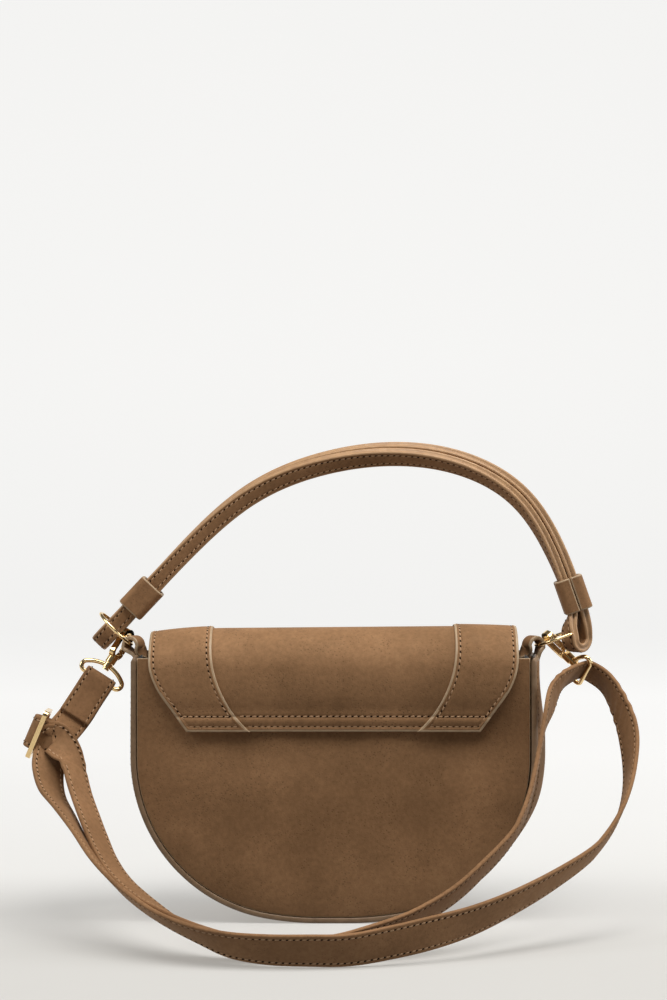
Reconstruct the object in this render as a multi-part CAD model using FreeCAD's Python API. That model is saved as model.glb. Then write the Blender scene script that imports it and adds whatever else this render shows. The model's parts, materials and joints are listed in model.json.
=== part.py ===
import FreeCAD, Part
import math
import os

# A saddle handbag standing on its rounded base, in millimetres.
# X runs along the bag's width, Y through its depth and Z up from the floor.
# The face at negative Y is the back, where the flap is sewn on.

V = FreeCAD.Vector
UP = V(0, 0, 1)
BACK_TO_FRONT = V(0, 1, 0)

# Allowances
bond_gap = 0.15        # glue and seam line between two sewn pieces
move_gap = 0.3         # room between pieces that move past each other
pin_gap = 0.05         # radial room of a pin in its hole
overrun = 5.0          # how far a cutter passes the piece that it cuts
parallel_share = 0.999 # how much of an edge's way lies along a vector that it is said to follow

# Bag body
panel_half_w = 114.0
panel_top_z = 149.0
bag_depth = 70.0
base_flat_half = 8.0
base_radius = 170.0
side_centre_x = 22.0
side_radius = panel_half_w - side_centre_x
gusset_wall = 3.2
panel_wall = 2.4
lining_wall = 0.8

# Flap, one sheet of leather that bends at the back and front of the mouth
flap_wall = 2.8
flap_half_w = 104.0
flap_rise = 18.0
flap_top_z = panel_top_z + flap_rise
flap_bend_radius = 14.0
flap_back_drop = 59.0
flap_back_low_z = flap_top_z - flap_back_drop
flap_corner_cut = 21.5
flap_corner_half_w = flap_half_w - flap_corner_cut
flap_cut_angle = 35.5
flap_side_radius = 43.0
flap_front_drop = 121.0
flap_front_low_z = flap_top_z - flap_front_drop
flap_front_flat_half = 6.0
flap_front_base_radius = 150.0
flap_front_side_centre_x = 20.0
flap_front_side_radius = flap_half_w - flap_front_side_centre_x
crease_angle = 45.0

# Shaped overlays sewn on both sides of the flap
overlay_wall = 1.2
overlay_top_w = 35.5
overlay_edge_x = flap_half_w - overlay_top_w
overlay_bend_drop = 10.0
overlay_bend_z = flap_top_z - overlay_bend_drop
overlay_back_radius = 66.0
overlay_front_radius = 150.0

# Magnetic snap under the front of the flap
snap_rise = 26.0
snap_z = flap_front_low_z + snap_rise
snap_radius = 9.0
socket_wall = 2.6
socket_bore_radius = 3.4
stud_plate_wall = 1.5
stud_radius = 3.0
stud_length = 1.8

# Side tabs, leather loops over the gusset's two top ends
tab_width = 8.0
tab_wall = 1.6
tab_bore_radius = 3.7
tab_rise = 4.8
tab_lean = 3.6
tab_leg = 12.0

# O-rings
ring_radius = 12.5
ring_wire = 0.95
ring_gap = 0.65
left_ring_angle = 45.0
right_ring_angle = 20.0

# Near the bag's sides, the handle and the strap keep their distance from the side
side_reach = 114.0
side_share = 0.6

# Top handle, one strap looped through both rings
handle_width = 10.5
handle_wall = 5.0
handle_strand_gap = 0.8
handle_rise = 115.6
left_loop_reach = 35.0
left_loop_near = 3.0
left_loop_far = 18.6
right_loop_half_gap = 6.6
right_loop_drop = 10.0
right_loop_y = -2.0
keeper_length = 20.0
keeper_wall = 2.0
keeper_slack = 0.9

# Swivel snap hooks and the rings that carry the shoulder strap
hook_wall = 3.0
hook_half_w = 5.5
hook_eye_half_w = 3.5
hook_base_z = 1.7
hook_base_half_w = 3.0
hook_eye_low_z = 7.0
hook_top_bar = 2.2
hook_wire_z = 20.4
hook_slack = 1.4
gate_pivot_z = 8.6
gate_end_z = 16.4
gate_width = 1.8
gate_tang = 1.4
gate_pin_radius = 0.6
post_radius = 1.2
post_depth = 3.0
post_head_radius = 2.0
post_head_wall = 1.0
boss_radius = 2.4
boss_half_height = 1.5
left_hook_ring_angle = 55.0
right_hook_ring_angle = 75.0
left_hook_axis_shares = (0.52, 0.25, 0.82)
right_hook_axis_shares = (-0.68, 0.30, 0.67)
left_strap_across_shares = (0.82, 0, -0.52)
right_strap_across_shares = (0, -0.69, 0.72)
dee_wire = 1.3
dee_bar_half = 10.2
dee_corner_radius = 3.0
dee_top_radius = 20.0

# Shoulder strap and its slider
strap_width = 19.0
strap_wall = 2.2
strap_fold = 26.0
strap_reach = 158.0
slider_half_length = 11.6
slider_half_depth = 8.9
slider_wire = 1.3
slider_bar_radius = 1.1
slider_turn = 6.0
slider_corner_radius = 2.6
slider_long_shares = (-0.39, 0, -0.92)

os.makedirs("parts", exist_ok=True)


def save(name, shape):
    """Write one piece to its own file."""
    shape.exportStep("parts/" + name + ".step")


def unit(v):
    """A copy of a vector with length one."""
    return v * (1.0 / v.Length)


def square_to(v, axis):
    """The part of v that is square to axis, with length one."""
    return unit(v - axis * v.dot(axis))


def arc(a, b, c):
    return Part.Arc(a, b, c).toShape()


def line(a, b):
    return Part.LineSegment(a, b).toShape()


def same_way(edge, along):
    """True where an edge runs along a unit vector."""
    return abs(unit(edge.tangentAt(edge.FirstParameter)).dot(along)) > parallel_share


def prism(edges, along):
    """A closed outline pushed along a vector."""
    return Part.Face(Part.Wire(edges)).extrude(along)


def mirrored(shape):
    """The same piece on the other side of the bag."""
    return shape.mirror(V(0, 0, 0), V(1, 0, 0))


# Bag body

def d_outline(half_w, low_z, flat_half, base_r, side_r, top_z, inset, y):
    """Edges of a D: flat foot, two base arcs, two side arcs, straight sides and top."""
    side_x = half_w - side_r
    rise = math.sqrt((base_r - side_r) ** 2 - (side_x - flat_half) ** 2)
    base_z = low_z + base_r
    side_z = base_z - rise
    join = math.atan2(side_x - flat_half, rise)

    def on_base(angle, sign):
        reach = base_r - inset
        return V(sign * (flat_half + reach * math.sin(angle)), y, base_z - reach * math.cos(angle))

    def on_side(angle, sign):
        reach = side_r - inset
        return V(sign * (side_x + reach * math.sin(angle)), y, side_z - reach * math.cos(angle))

    level = math.pi / 2
    edges = [line(on_base(0, -1), on_base(0, 1))]
    for sign in (1, -1):
        corner = V(sign * (half_w - inset), y, top_z)
        edges += [arc(on_base(0, sign), on_base(join / 2, sign), on_base(join, sign)),
                  arc(on_side(join, sign), on_side((join + level) / 2, sign), on_side(level, sign)),
                  line(on_side(level, sign), corner)]
    edges.append(line(V(half_w - inset, y, top_z), V(inset - half_w, y, top_z)))
    return Part.__sortEdges__(edges)


def bag_plate(inset, low_y, depth, top_z):
    edges = d_outline(panel_half_w, 0, base_flat_half, base_radius, side_radius, top_z, inset, low_y)
    return prism(edges, BACK_TO_FRONT * depth)


half_depth = bag_depth / 2
inner_inset = gusset_wall + bond_gap

gusset_block = bag_plate(0, -half_depth, bag_depth, panel_top_z)
gusset_cut = bag_plate(gusset_wall, -half_depth - overrun, bag_depth + 2 * overrun, panel_top_z + overrun)
gusset = gusset_block.cut(gusset_cut)
save("gusset", gusset)

save("back_panel", bag_plate(inner_inset, -half_depth, panel_wall, panel_top_z))
save("front_panel", bag_plate(inner_inset, half_depth - panel_wall, panel_wall, panel_top_z))

lining_half_depth = half_depth - panel_wall - bond_gap
lining_block = bag_plate(inner_inset, -lining_half_depth, 2 * lining_half_depth, panel_top_z)
pouch_half_depth = lining_half_depth - lining_wall
pouch = bag_plate(inner_inset + lining_wall, -pouch_half_depth, 2 * pouch_half_depth,
                  panel_top_z + overrun)
save("lining", lining_block.cut(pouch))

# Flap

snap_stack = socket_wall + move_gap + stud_plate_wall + bond_gap
flap_back_y = -half_depth - bond_gap
flap_front_y = half_depth + snap_stack
bend_z = flap_top_z - flap_wall - flap_bend_radius
back_bend_y = flap_back_y + flap_bend_radius
front_bend_y = flap_front_y - flap_bend_radius
flap_span = 2 * panel_half_w
crease_reach = flap_bend_radius + flap_wall + overlay_wall
crease_slit = math.degrees(move_gap / 2 / flap_bend_radius)


def on_bend(centre_y, reach, degrees, sign):
    """A point on the back (sign -1) or front bend, its angle counted up from level."""
    angle = math.radians(degrees)
    return V(-flap_span / 2, centre_y + sign * reach * math.cos(angle), bend_z + reach * math.sin(angle))


def bend_arc(centre_y, reach, start, end, sign):
    points = [on_bend(centre_y, reach, a, sign) for a in (start, (start + end) / 2, end)]
    return arc(*points)


def sheet_drop(side_y, centre_y, low_z, sign, inner, outer):
    """A hanging stretch of the flap and its bend up to the crease, as wide as flap_span."""
    near = flap_bend_radius + inner
    far = flap_bend_radius + outer
    top = crease_angle - crease_slit
    foot_near = V(-flap_span / 2, side_y + sign * inner, low_z)
    foot_far = V(-flap_span / 2, side_y + sign * outer, low_z)
    edges = [line(foot_near, foot_far),
             line(foot_far, on_bend(centre_y, far, 0, sign)),
             bend_arc(centre_y, far, 0, top, sign),
             line(on_bend(centre_y, far, top, sign), on_bend(centre_y, near, top, sign)),
             bend_arc(centre_y, near, top, 0, sign),
             line(on_bend(centre_y, near, 0, sign), foot_near)]
    return prism(edges, V(flap_span, 0, 0))


def sheet_top(inner, outer):
    """The stretch of the flap over the bag's mouth, from crease to crease."""
    near = flap_bend_radius + inner
    far = flap_bend_radius + outer
    start = crease_angle + crease_slit
    level = 90.0
    edges = [bend_arc(back_bend_y, far, start, level, -1),
             line(on_bend(back_bend_y, far, level, -1), on_bend(front_bend_y, far, level, 1)),
             bend_arc(front_bend_y, far, level, start, 1),
             line(on_bend(front_bend_y, far, start, 1), on_bend(front_bend_y, near, start, 1)),
             bend_arc(front_bend_y, near, start, level, 1),
             line(on_bend(front_bend_y, near, level, 1), on_bend(back_bend_y, near, level, -1)),
             bend_arc(back_bend_y, near, level, start, -1),
             line(on_bend(back_bend_y, near, start, -1), on_bend(back_bend_y, far, start, -1))]
    return prism(edges, V(flap_span, 0, 0))


outline_top_z = flap_top_z + overlay_wall + overrun
outline_y = -bag_depth
outline_depth = V(0, 2 * bag_depth, 0)


def back_outline():
    """The flap's shape on the back: straight foot, slanted corners, rounded shoulders."""
    turn = math.radians(flap_cut_angle)
    meet_z = flap_back_low_z + (flap_half_w - flap_corner_half_w) / math.tan(turn)
    run = flap_side_radius * math.tan(turn / 2)
    edges = []
    for sign in (1, -1):
        shoulder = V(sign * flap_half_w, outline_y, meet_z + run)
        hub_x = flap_half_w - flap_side_radius

        def on_shoulder(angle):
            return V(sign * (hub_x + flap_side_radius * math.cos(angle)), outline_y,
                     shoulder.z - flap_side_radius * math.sin(angle))

        corner = V(sign * flap_corner_half_w, outline_y, flap_back_low_z)
        edges += [line(V(sign * flap_half_w, outline_y, outline_top_z), shoulder),
                  arc(shoulder, on_shoulder(turn / 2), on_shoulder(turn)),
                  line(on_shoulder(turn), corner)]
    edges.append(line(V(-flap_corner_half_w, outline_y, flap_back_low_z),
                      V(flap_corner_half_w, outline_y, flap_back_low_z)))
    edges.append(line(V(-flap_half_w, outline_y, outline_top_z), V(flap_half_w, outline_y, outline_top_z)))
    return prism(Part.__sortEdges__(edges), outline_depth)


def front_outline():
    """The flap's shape over the mouth and down the front: a smaller D."""
    edges = d_outline(flap_half_w, flap_front_low_z, flap_front_flat_half, flap_front_base_radius,
                      flap_front_side_radius, outline_top_z, 0, outline_y)
    return prism(edges, outline_depth)


def overlay_region(radius, low_z):
    """Everything outside an overlay's inner edge, on the right-hand side."""
    drop = overlay_bend_z - low_z
    sweep = math.asin(drop / radius)
    hub_x = overlay_edge_x - radius

    def on_edge(angle):
        return V(hub_x + radius * math.cos(angle), outline_y, overlay_bend_z - radius * math.sin(angle))

    wide = panel_half_w + overrun
    edges = [line(V(overlay_edge_x, outline_y, outline_top_z), on_edge(0)),
             arc(on_edge(0), on_edge(sweep / 2), on_edge(sweep)),
             line(on_edge(sweep), V(wide, outline_y, low_z)),
             line(V(wide, outline_y, low_z), V(wide, outline_y, outline_top_z)),
             line(V(wide, outline_y, outline_top_z), V(overlay_edge_x, outline_y, outline_top_z))]
    return prism(edges, outline_depth)


back_shape = back_outline()
front_shape = front_outline()
overlay_low = flap_wall
overlay_high = flap_wall + overlay_wall

flap_sheets = (
    ("flap_back", back_shape, overlay_region(overlay_back_radius, flap_back_low_z),
     lambda low, high: sheet_drop(flap_back_y, back_bend_y, flap_back_low_z, -1, low, high)),
    ("flap_top", front_shape, overlay_region(overlay_front_radius, flap_front_low_z), sheet_top),
    ("flap_front", front_shape, overlay_region(overlay_front_radius, flap_front_low_z),
     lambda low, high: sheet_drop(flap_front_y, front_bend_y, flap_front_low_z, 1, low, high)),
)
for name, shape, region, sheet in flap_sheets:
    save(name, sheet(0, flap_wall).common(shape))
    overlay = sheet(overlay_low, overlay_high).common(shape).common(region)
    save("right_overlay_" + name.split("_")[1], overlay)
    save("left_overlay_" + name.split("_")[1], mirrored(overlay))

# Magnetic snap

socket = Part.makeCylinder(snap_radius, socket_wall, V(0, half_depth, snap_z), BACK_TO_FRONT)
socket_bore = Part.makeCylinder(socket_bore_radius, socket_wall + overrun, V(0, half_depth, snap_z),
                                BACK_TO_FRONT)
save("snap_socket", socket.cut(socket_bore))

stud_face_y = half_depth + socket_wall + move_gap
stud_plate = Part.makeCylinder(snap_radius, stud_plate_wall, V(0, stud_face_y, snap_z), BACK_TO_FRONT)
stud = Part.makeCylinder(stud_radius, stud_length, V(0, stud_face_y - stud_length, snap_z), BACK_TO_FRONT)
save("snap_stud", stud_plate.fuse(stud))

# Side tabs

wall_stack = gusset_wall + bond_gap + lining_wall
stack_x = panel_half_w - wall_stack / 2
tab_hub = V(stack_x + tab_lean, -tab_width / 2, panel_top_z + tab_rise)
tab_foot_z = panel_top_z - tab_leg


def teardrop(radius, half_foot):
    """A loop seen end on: a round top drawn in to a narrow foot over the gusset's edge."""
    ends = []
    for sign in (1, -1):
        knee_z = panel_top_z + bond_gap + tab_bore_radius - radius
        knee = V(stack_x + sign * half_foot, -tab_width / 2, knee_z)
        away = knee - tab_hub
        angle = math.atan2(away.z, away.x) + sign * math.acos(radius / away.Length)
        ends.append((knee, angle))
    (right_knee, right_angle), (left_knee, left_angle) = ends
    left_angle += 2 * math.pi
    leg = V(0, 0, tab_foot_z - right_knee.z)

    def on_loop(angle):
        return tab_hub + V(radius * math.cos(angle), 0, radius * math.sin(angle))

    edges = [line(left_knee + leg, right_knee + leg),
             line(right_knee + leg, right_knee),
             line(right_knee, on_loop(right_angle)),
             arc(on_loop(right_angle), on_loop((right_angle + left_angle) / 2), on_loop(left_angle)),
             line(on_loop(left_angle), left_knee),
             line(left_knee, left_knee + leg)]
    return prism(edges, V(0, tab_width, 0))


leg_room = wall_stack / 2 + bond_gap
tab_block = teardrop(tab_bore_radius + tab_wall, leg_room + tab_wall)
right_tab = tab_block.cut(teardrop(tab_bore_radius, leg_room))
save("right_tab", right_tab)
save("left_tab", mirrored(right_tab))

# O-rings, each through its tab and leaning outwards

ring_sag = ring_radius - math.sqrt(ring_radius ** 2 - (tab_width / 2) ** 2)
ring_seat = tab_bore_radius - ring_wire - ring_gap - ring_sag


def ring_frame(sign, angle):
    """Where the ring's wire lies in its tab, pulled outwards, and the way to the ring's far end."""
    turn = math.radians(angle)
    out = V(sign * math.cos(turn), 0, math.sin(turn))
    return V(sign * tab_hub.x, 0, tab_hub.z) + out * ring_seat, out


def ring_point(frame, degrees):
    """A point on the ring's wire, counted from the tab towards the bag's front."""
    tunnel, out = frame
    angle = math.radians(degrees)
    reach = ring_radius * (1 - math.cos(angle))
    return tunnel + out * reach + BACK_TO_FRONT * (ring_radius * math.sin(angle))


left_ring = ring_frame(-1, left_ring_angle)
right_ring = ring_frame(1, right_ring_angle)
for name, frame in (("o_ring_left", left_ring), ("o_ring_right", right_ring)):
    tunnel, out = frame
    print(name, "tunnel", tunnel)
    save(name, Part.makeTorus(ring_radius, ring_wire, tunnel + out * ring_radius, out.cross(BACK_TO_FRONT)))

# Ribbons: straps as lofts through flat sections

def across_bag(share):
    """A place along X: a share of the half width, or near a side a distance from that side."""
    if abs(share) < side_share:
        return panel_half_w * share
    side = math.copysign(1, share)
    return side * panel_half_w + side_reach * (share - side)


def ribbon(stations, width, wall):
    """A strap through (centre, face direction) stations, laid along the path in turn."""
    sections = []
    last = len(stations) - 1
    for i, (centre, face) in enumerate(stations):
        along = unit(stations[min(i + 1, last)][0] - stations[max(i - 1, 0)][0])
        thick = square_to(face, along)
        across = along.cross(thick)
        corners = [centre + across * (a * width / 2) + thick * (b * wall / 2)
                   for a, b in ((1, 1), (-1, 1), (-1, -1), (1, -1))]
        sections.append(Part.makePolygon(corners + corners[:1]))
    return Part.makeLoft(sections, True, True)


# Top handle. Shares of the panel's half width and of the handle's rise over the gusset.

handle_arch_shares = ((-0.975, 0.279), (-0.680, 0.585), (-0.401, 0.810), (-0.020, 0.960), (0.335, 1.0),
                      (0.640, 0.955), (0.944, 0.785), (1.097, 0.570), (1.213, 0.299))
reach_shares = (0.32, 0.50, 0.66, 0.79)
spread_shares = (1.0, 1.0, 0.70, 0.05)
neck_shares = (0.05, 0.45, 0.62)
leg_shares = ((0.25, 0.95), (-0.40, 1.0))
handle_steps = 22
loop_angles = (-60, -30, 0, 30, 60)
handle_left_y = (left_loop_near + left_loop_near + handle_wall + handle_strand_gap) / 2
strand_shift = (handle_wall + handle_strand_gap) / 2

arch_points = [V(across_bag(x), 0, panel_top_z + handle_rise * z) for x, z in handle_arch_shares]
arch = Part.BSplineCurve()
arch.interpolate(arch_points)
first, last = arch.FirstParameter, arch.LastParameter


def arch_station(share, side):
    """One strand's centre and face direction. The pair is stacked in depth on the left
    and turns to lie one over the other on the right."""
    at = first + (last - first) * share
    along = V(*arch.tangent(at)[0])
    outward = along.cross(BACK_TO_FRONT)
    turn = math.radians(90 * share)
    stack = V(0, -1, 0) * math.cos(turn) + outward * math.sin(turn)
    middle = arch.value(at) + V(0, handle_left_y * (1 - share), 0)
    return middle + stack * (side * strand_shift), stack * side


def left_loop():
    """From the outer strand, through the ring, round and back to the inner strand."""
    start = arch_points[0]
    down = unit(arch_points[0] - arch_points[1])
    middle_y = (left_loop_near + left_loop_far) / 2
    half = (left_loop_far - left_loop_near) / 2
    stations = []
    for share in reach_shares:
        stations.append((start + down * (left_loop_reach * share) + V(0, left_loop_near, 0), V(0, -1, 0)))
    for degrees in reversed(loop_angles):
        turn = math.radians(degrees)
        nose = left_loop_reach * (reach_shares[-1] + (1 - reach_shares[-1]) * math.cos(turn))
        centre = start + down * nose + V(0, middle_y - half * math.sin(turn), 0)
        stations.append((centre, down * math.cos(turn) + V(0, -math.sin(turn), 0)))
    back_y = 2 * handle_left_y - left_loop_near
    for share, spread in zip(reversed(reach_shares), spread_shares):
        y = back_y + (left_loop_far - back_y) * spread
        stations.append((start + down * (left_loop_reach * share) + V(0, y, 0), V(0, 1, 0)))
    return stations


def right_loop():
    """From the inner strand in the right keeper, round under the ring's end to the outer strand."""
    hold = ring_point(right_ring, 180) + V(0, right_loop_y, 0)
    end = arch_points[-1]
    down = V(*arch.tangent(last)[0])
    outward = down.cross(BACK_TO_FRONT)
    legs = {}
    for side in (-1, 1):
        leg = []
        for share in neck_shares:
            centre = end + down * (keeper_length * share) + outward * (side * strand_shift)
            leg.append((centre, outward * side))
        for drop, spread in leg_shares:
            centre = hold + V(side * right_loop_half_gap * spread, 0, right_loop_drop * drop)
            leg.append((centre, V(side, 0, 0)))
        legs[side] = leg
    bend_share = -leg_shares[-1][0]
    stations = legs[-1]
    for degrees in loop_angles:
        turn = math.radians(degrees)
        low = bend_share + (1 - bend_share) * math.cos(turn)
        centre = hold + V(right_loop_half_gap * math.sin(turn), 0, -right_loop_drop * low)
        stations.append((centre, V(math.sin(turn), 0, -math.cos(turn))))
    return stations + legs[1][:0:-1]


outer_run = [arch_station(1 - i / handle_steps, 1) for i in range(handle_steps + 1)]
inner_run = [arch_station(i / handle_steps, -1) for i in range(handle_steps + 1)]
handle_stations = right_loop() + outer_run + left_loop() + inner_run
save("handle_strap", ribbon(handle_stations, handle_width, handle_wall))


def keeper(share, depth_dir):
    """A leather sleeve round both strands, centred on the arch at one of its ends."""
    at = first + (last - first) * share
    along = V(*arch.tangent(at)[0])
    centre = arch.value(at) + V(0, handle_left_y * (1 - share), 0)
    side = along.cross(depth_dir)
    bore_half = max(handle_width, 2 * handle_wall + handle_strand_gap) / 2 + keeper_slack
    outer_half = bore_half + keeper_wall

    def block(half, length):
        corners = [centre - along * (length / 2) + side * (a * half) + depth_dir * (b * half)
                   for a, b in ((1, 1), (-1, 1), (-1, -1), (1, -1))]
        edges = [line(corners[i - 1], corners[i]) for i in range(len(corners))]
        return prism(Part.__sortEdges__(edges), along * length)

    sleeve = block(outer_half, keeper_length)
    long_edges = [e for e in sleeve.Edges if same_way(e, along)]
    return sleeve.makeFillet(keeper_wall, long_edges).cut(block(bore_half, keeper_length + overrun))


save("keeper_left", keeper(0, BACK_TO_FRONT))
save("keeper_right", keeper(1, BACK_TO_FRONT))

# Snap hooks. Each is drawn along its own axis from the swivel up to the ring's wire.

def placed(shape, origin, across, axis):
    """Carry a piece from its own axes to the bag: its X goes to across and its Z to axis."""
    through = axis.cross(across)
    matrix = FreeCAD.Matrix(across.x, through.x, axis.x, origin.x,
                            across.y, through.y, axis.y, origin.y,
                            across.z, through.z, axis.z, origin.z,
                            0, 0, 0, 1)
    return shape.transformed(matrix)


def slot_shape(half_w, low_z, high_z, wall):
    """A plate with rounded ends, in the XZ plane, centred on the hook's middle."""
    low = low_z + half_w
    high = high_z - half_w
    y = -wall / 2
    edges = [line(V(-half_w, y, high), V(-half_w, y, low)),
             arc(V(-half_w, y, low), V(0, y, low_z), V(half_w, y, low)),
             line(V(half_w, y, low), V(half_w, y, high)),
             arc(V(half_w, y, high), V(0, y, high_z), V(-half_w, y, high))]
    return prism(edges, V(0, wall, 0))


eye_top_z = hook_wire_z + ring_wire + hook_slack
gate_x = (hook_half_w + hook_eye_half_w) / 2


def hook_body():
    outer = slot_shape(hook_half_w, hook_eye_low_z - hook_top_bar, eye_top_z + hook_top_bar, hook_wall)
    base = Part.makeCylinder(hook_base_half_w, hook_eye_low_z - hook_base_z, V(0, 0, hook_base_z), UP)
    body = outer.fuse(base)
    body = body.cut(slot_shape(hook_eye_half_w, hook_eye_low_z, eye_top_z, hook_wall + overrun))
    gap_low = gate_pivot_z + gate_width
    gap = Part.makeBox(hook_half_w, hook_wall + overrun, gate_end_z + move_gap - gap_low,
                       V(gate_x - gate_width, -(hook_wall + overrun) / 2, gap_low))
    fork_low = gate_pivot_z - gate_width
    fork_half = gate_tang / 2 + move_gap / 2
    fork = Part.makeBox(hook_half_w, 2 * fork_half, gap_low - fork_low,
                        V(hook_eye_half_w - gate_width, -fork_half, fork_low))
    pin_hole = Part.makeCylinder(gate_pin_radius + pin_gap, hook_wall + overrun,
                                 V(gate_x, -(hook_wall + overrun) / 2, gate_pivot_z), BACK_TO_FRONT)
    post_hole = Part.makeCylinder(post_radius + pin_gap, post_depth, V(0, 0, hook_base_z), UP)
    for cutter in (gap, fork, pin_hole, post_hole):
        body = body.cut(cutter)
    return body


def hook_gate():
    half = gate_width / 2
    knuckle = Part.makeCylinder(half, gate_tang, V(gate_x, -gate_tang / 2, gate_pivot_z), BACK_TO_FRONT)
    tang = Part.makeBox(gate_width, gate_tang, 2 * gate_width,
                        V(gate_x - half, -gate_tang / 2, gate_pivot_z))
    lever_low = gate_pivot_z + gate_width + move_gap
    lever = Part.makeBox(gate_width, hook_wall, gate_end_z - lever_low,
                         V(gate_x - half, -hook_wall / 2, lever_low))
    hole = Part.makeCylinder(gate_pin_radius + pin_gap, hook_wall,
                             V(gate_x, -hook_wall / 2, gate_pivot_z), BACK_TO_FRONT)
    return knuckle.fuse(tang).fuse(lever).cut(hole)


def gate_pin():
    foot = V(gate_x, -hook_wall / 2, gate_pivot_z)
    return Part.makeCylinder(gate_pin_radius, hook_wall, foot, BACK_TO_FRONT)


def swivel_post():
    head_z = -boss_half_height - move_gap - post_head_wall
    head = Part.makeCylinder(post_head_radius, post_head_wall, V(0, 0, head_z), UP)
    shank = Part.makeCylinder(post_radius, hook_base_z + post_depth - head_z, V(0, 0, head_z), UP)
    return head.fuse(shank)


dee_gap = dee_top_radius - dee_corner_radius
dee_hub_z = dee_corner_radius - math.sqrt(dee_gap ** 2 - dee_bar_half ** 2)
dee_height = dee_hub_z + dee_top_radius


def strap_dee():
    """A D of wire: straight bar below, round top with a drilled boss for the swivel post."""
    def at(x, z):
        return V(x, 0, z - dee_height)

    lean = math.atan2(dee_corner_radius - dee_hub_z, dee_bar_half)
    edges = [line(at(-dee_bar_half, 0), at(dee_bar_half, 0))]

    def corner(sign, angle):
        return at(sign * (dee_bar_half + dee_corner_radius * math.cos(angle)),
                  dee_corner_radius * (1 + math.sin(angle)))

    down = -math.pi / 2
    edges.append(arc(corner(1, down), corner(1, (down + lean) / 2), corner(1, lean)))
    edges.append(arc(corner(1, lean), at(0, dee_height), corner(-1, lean)))
    edges.append(arc(corner(-1, lean), corner(-1, (down + lean) / 2), corner(-1, down)))
    path = Part.Wire(edges)
    section = Part.Wire(Part.makeCircle(dee_wire, at(0, 0), V(1, 0, 0)))
    ring = path.makePipeShell([section], True, False)
    boss = Part.makeCylinder(boss_radius, 2 * boss_half_height, V(0, 0, -boss_half_height), UP)
    hole = Part.makeCylinder(post_radius + pin_gap, 2 * (boss_half_height + overrun),
                             V(0, 0, -boss_half_height - overrun), UP)
    return ring.fuse(boss).cut(hole)


# Each hook's axis points from its strap ring up to the O-ring.
left_hook_axis = unit(V(*left_hook_axis_shares))
right_hook_axis = unit(V(*right_hook_axis_shares))
left_strap_across = square_to(V(*left_strap_across_shares), left_hook_axis)
right_strap_across = square_to(V(*right_strap_across_shares), right_hook_axis)
hooks = {}
for side, frame, ring_degrees, axis, across in (
        ("left", left_ring, left_hook_ring_angle, left_hook_axis, left_strap_across),
        ("right", right_ring, right_hook_ring_angle, right_hook_axis, right_strap_across)):
    held = ring_point(frame, ring_degrees)
    wire_along = ring_point(frame, ring_degrees + 1) - ring_point(frame, ring_degrees - 1)
    swivel = held - axis * hook_wire_z
    hook_across = square_to(wire_along, axis).cross(axis)
    hooks[side] = (swivel, axis, across)
    save("hook_" + side, placed(hook_body(), swivel, hook_across, axis))
    save("hook_gate_" + side, placed(hook_gate(), swivel, hook_across, axis))
    save("gate_pin_" + side, placed(gate_pin(), swivel, hook_across, axis))
    save("swivel_post_" + side, placed(swivel_post(), swivel, hook_across, axis))
    save("strap_ring_" + side, placed(strap_dee(), swivel, across, axis))
    pivot = swivel + hook_across * gate_x + axis * gate_pivot_z
    print(side, "swivel", swivel, "axis", axis, "gate pivot", pivot, "gate axis", axis.cross(hook_across))

# Slider of the shoulder strap: a frame of wire with a bar across its middle

def route_point(share):
    """A place on the strap's way, from shares of the bag's half width, the reach and the height."""
    x, y, z = share
    return V(across_bag(x), strap_reach * y, panel_top_z * z)


slider_place_shares = (-1.464, -0.152, 0.711)
slider_centre = route_point(slider_place_shares)
slider_long = unit(V(*slider_long_shares))
slider_deep = BACK_TO_FRONT
slider_face = slider_long.cross(slider_deep)


def slider():
    """A rounded frame in its own XY plane with a bar along X."""
    frame_half_x = slider_half_length + slider_wire

    def ring_face(half_x, half_y):
        points = [V(a * half_x, b * half_y, -slider_wire) for a, b in ((1, 1), (-1, 1), (-1, -1), (1, -1))]
        edges = [line(points[i - 1], points[i]) for i in range(len(points))]
        return prism(Part.__sortEdges__(edges), UP * (2 * slider_wire))

    outer = ring_face(frame_half_x + slider_wire, slider_half_depth + slider_wire)
    uprights = [e for e in outer.Edges if same_way(e, UP)]
    outer = outer.makeFillet(slider_corner_radius, uprights)
    inner = ring_face(slider_half_length, slider_half_depth - slider_wire)
    bar = Part.makeCylinder(slider_bar_radius, 2 * frame_half_x, V(-frame_half_x, 0, 0), V(1, 0, 0))
    return outer.cut(inner).fuse(bar)


save("slider", placed(slider(), slider_centre, slider_long, slider_face))

# Shoulder strap. Each place is shares of the bag's half width, the strap's reach and the panel's height.
# The angle beside it turns the strap's outer side away from the viewer at the bag's back.

inner_run_shares = (((-1.372, -0.196, 0.694), 12), ((-1.317, -0.215, 0.646), 38),
                    ((-1.278, -0.247, 0.598), 58),
                    ((-1.237, -0.304, 0.515), 61), ((-1.190, -0.367, 0.443), 62), ((-1.137, -0.443, 0.371), 64),
                    ((-1.081, -0.519, 0.306), 72), ((-1.004, -0.601, 0.244), 81), ((-0.896, -0.684, 0.191), 90),
                    ((-0.762, -0.766, 0.144), 104), ((-0.609, -0.835, 0.098), 118),
                    ((-0.438, -0.880, 0.063), 128), ((-0.234, -0.905, 0.052), 134),
                    ((-0.018, -0.899, 0.057), 135), ((0.172, -0.861, 0.090), 132), ((0.356, -0.804, 0.130), 129),
                    ((0.549, -0.728, 0.200), 125), ((0.709, -0.646, 0.291), 121), ((0.856, -0.544, 0.393), 113),
                    ((0.940, -0.449, 0.510), 106), ((0.993, -0.354, 0.652), 101), ((1.034, -0.285, 0.782), 100))
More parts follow.
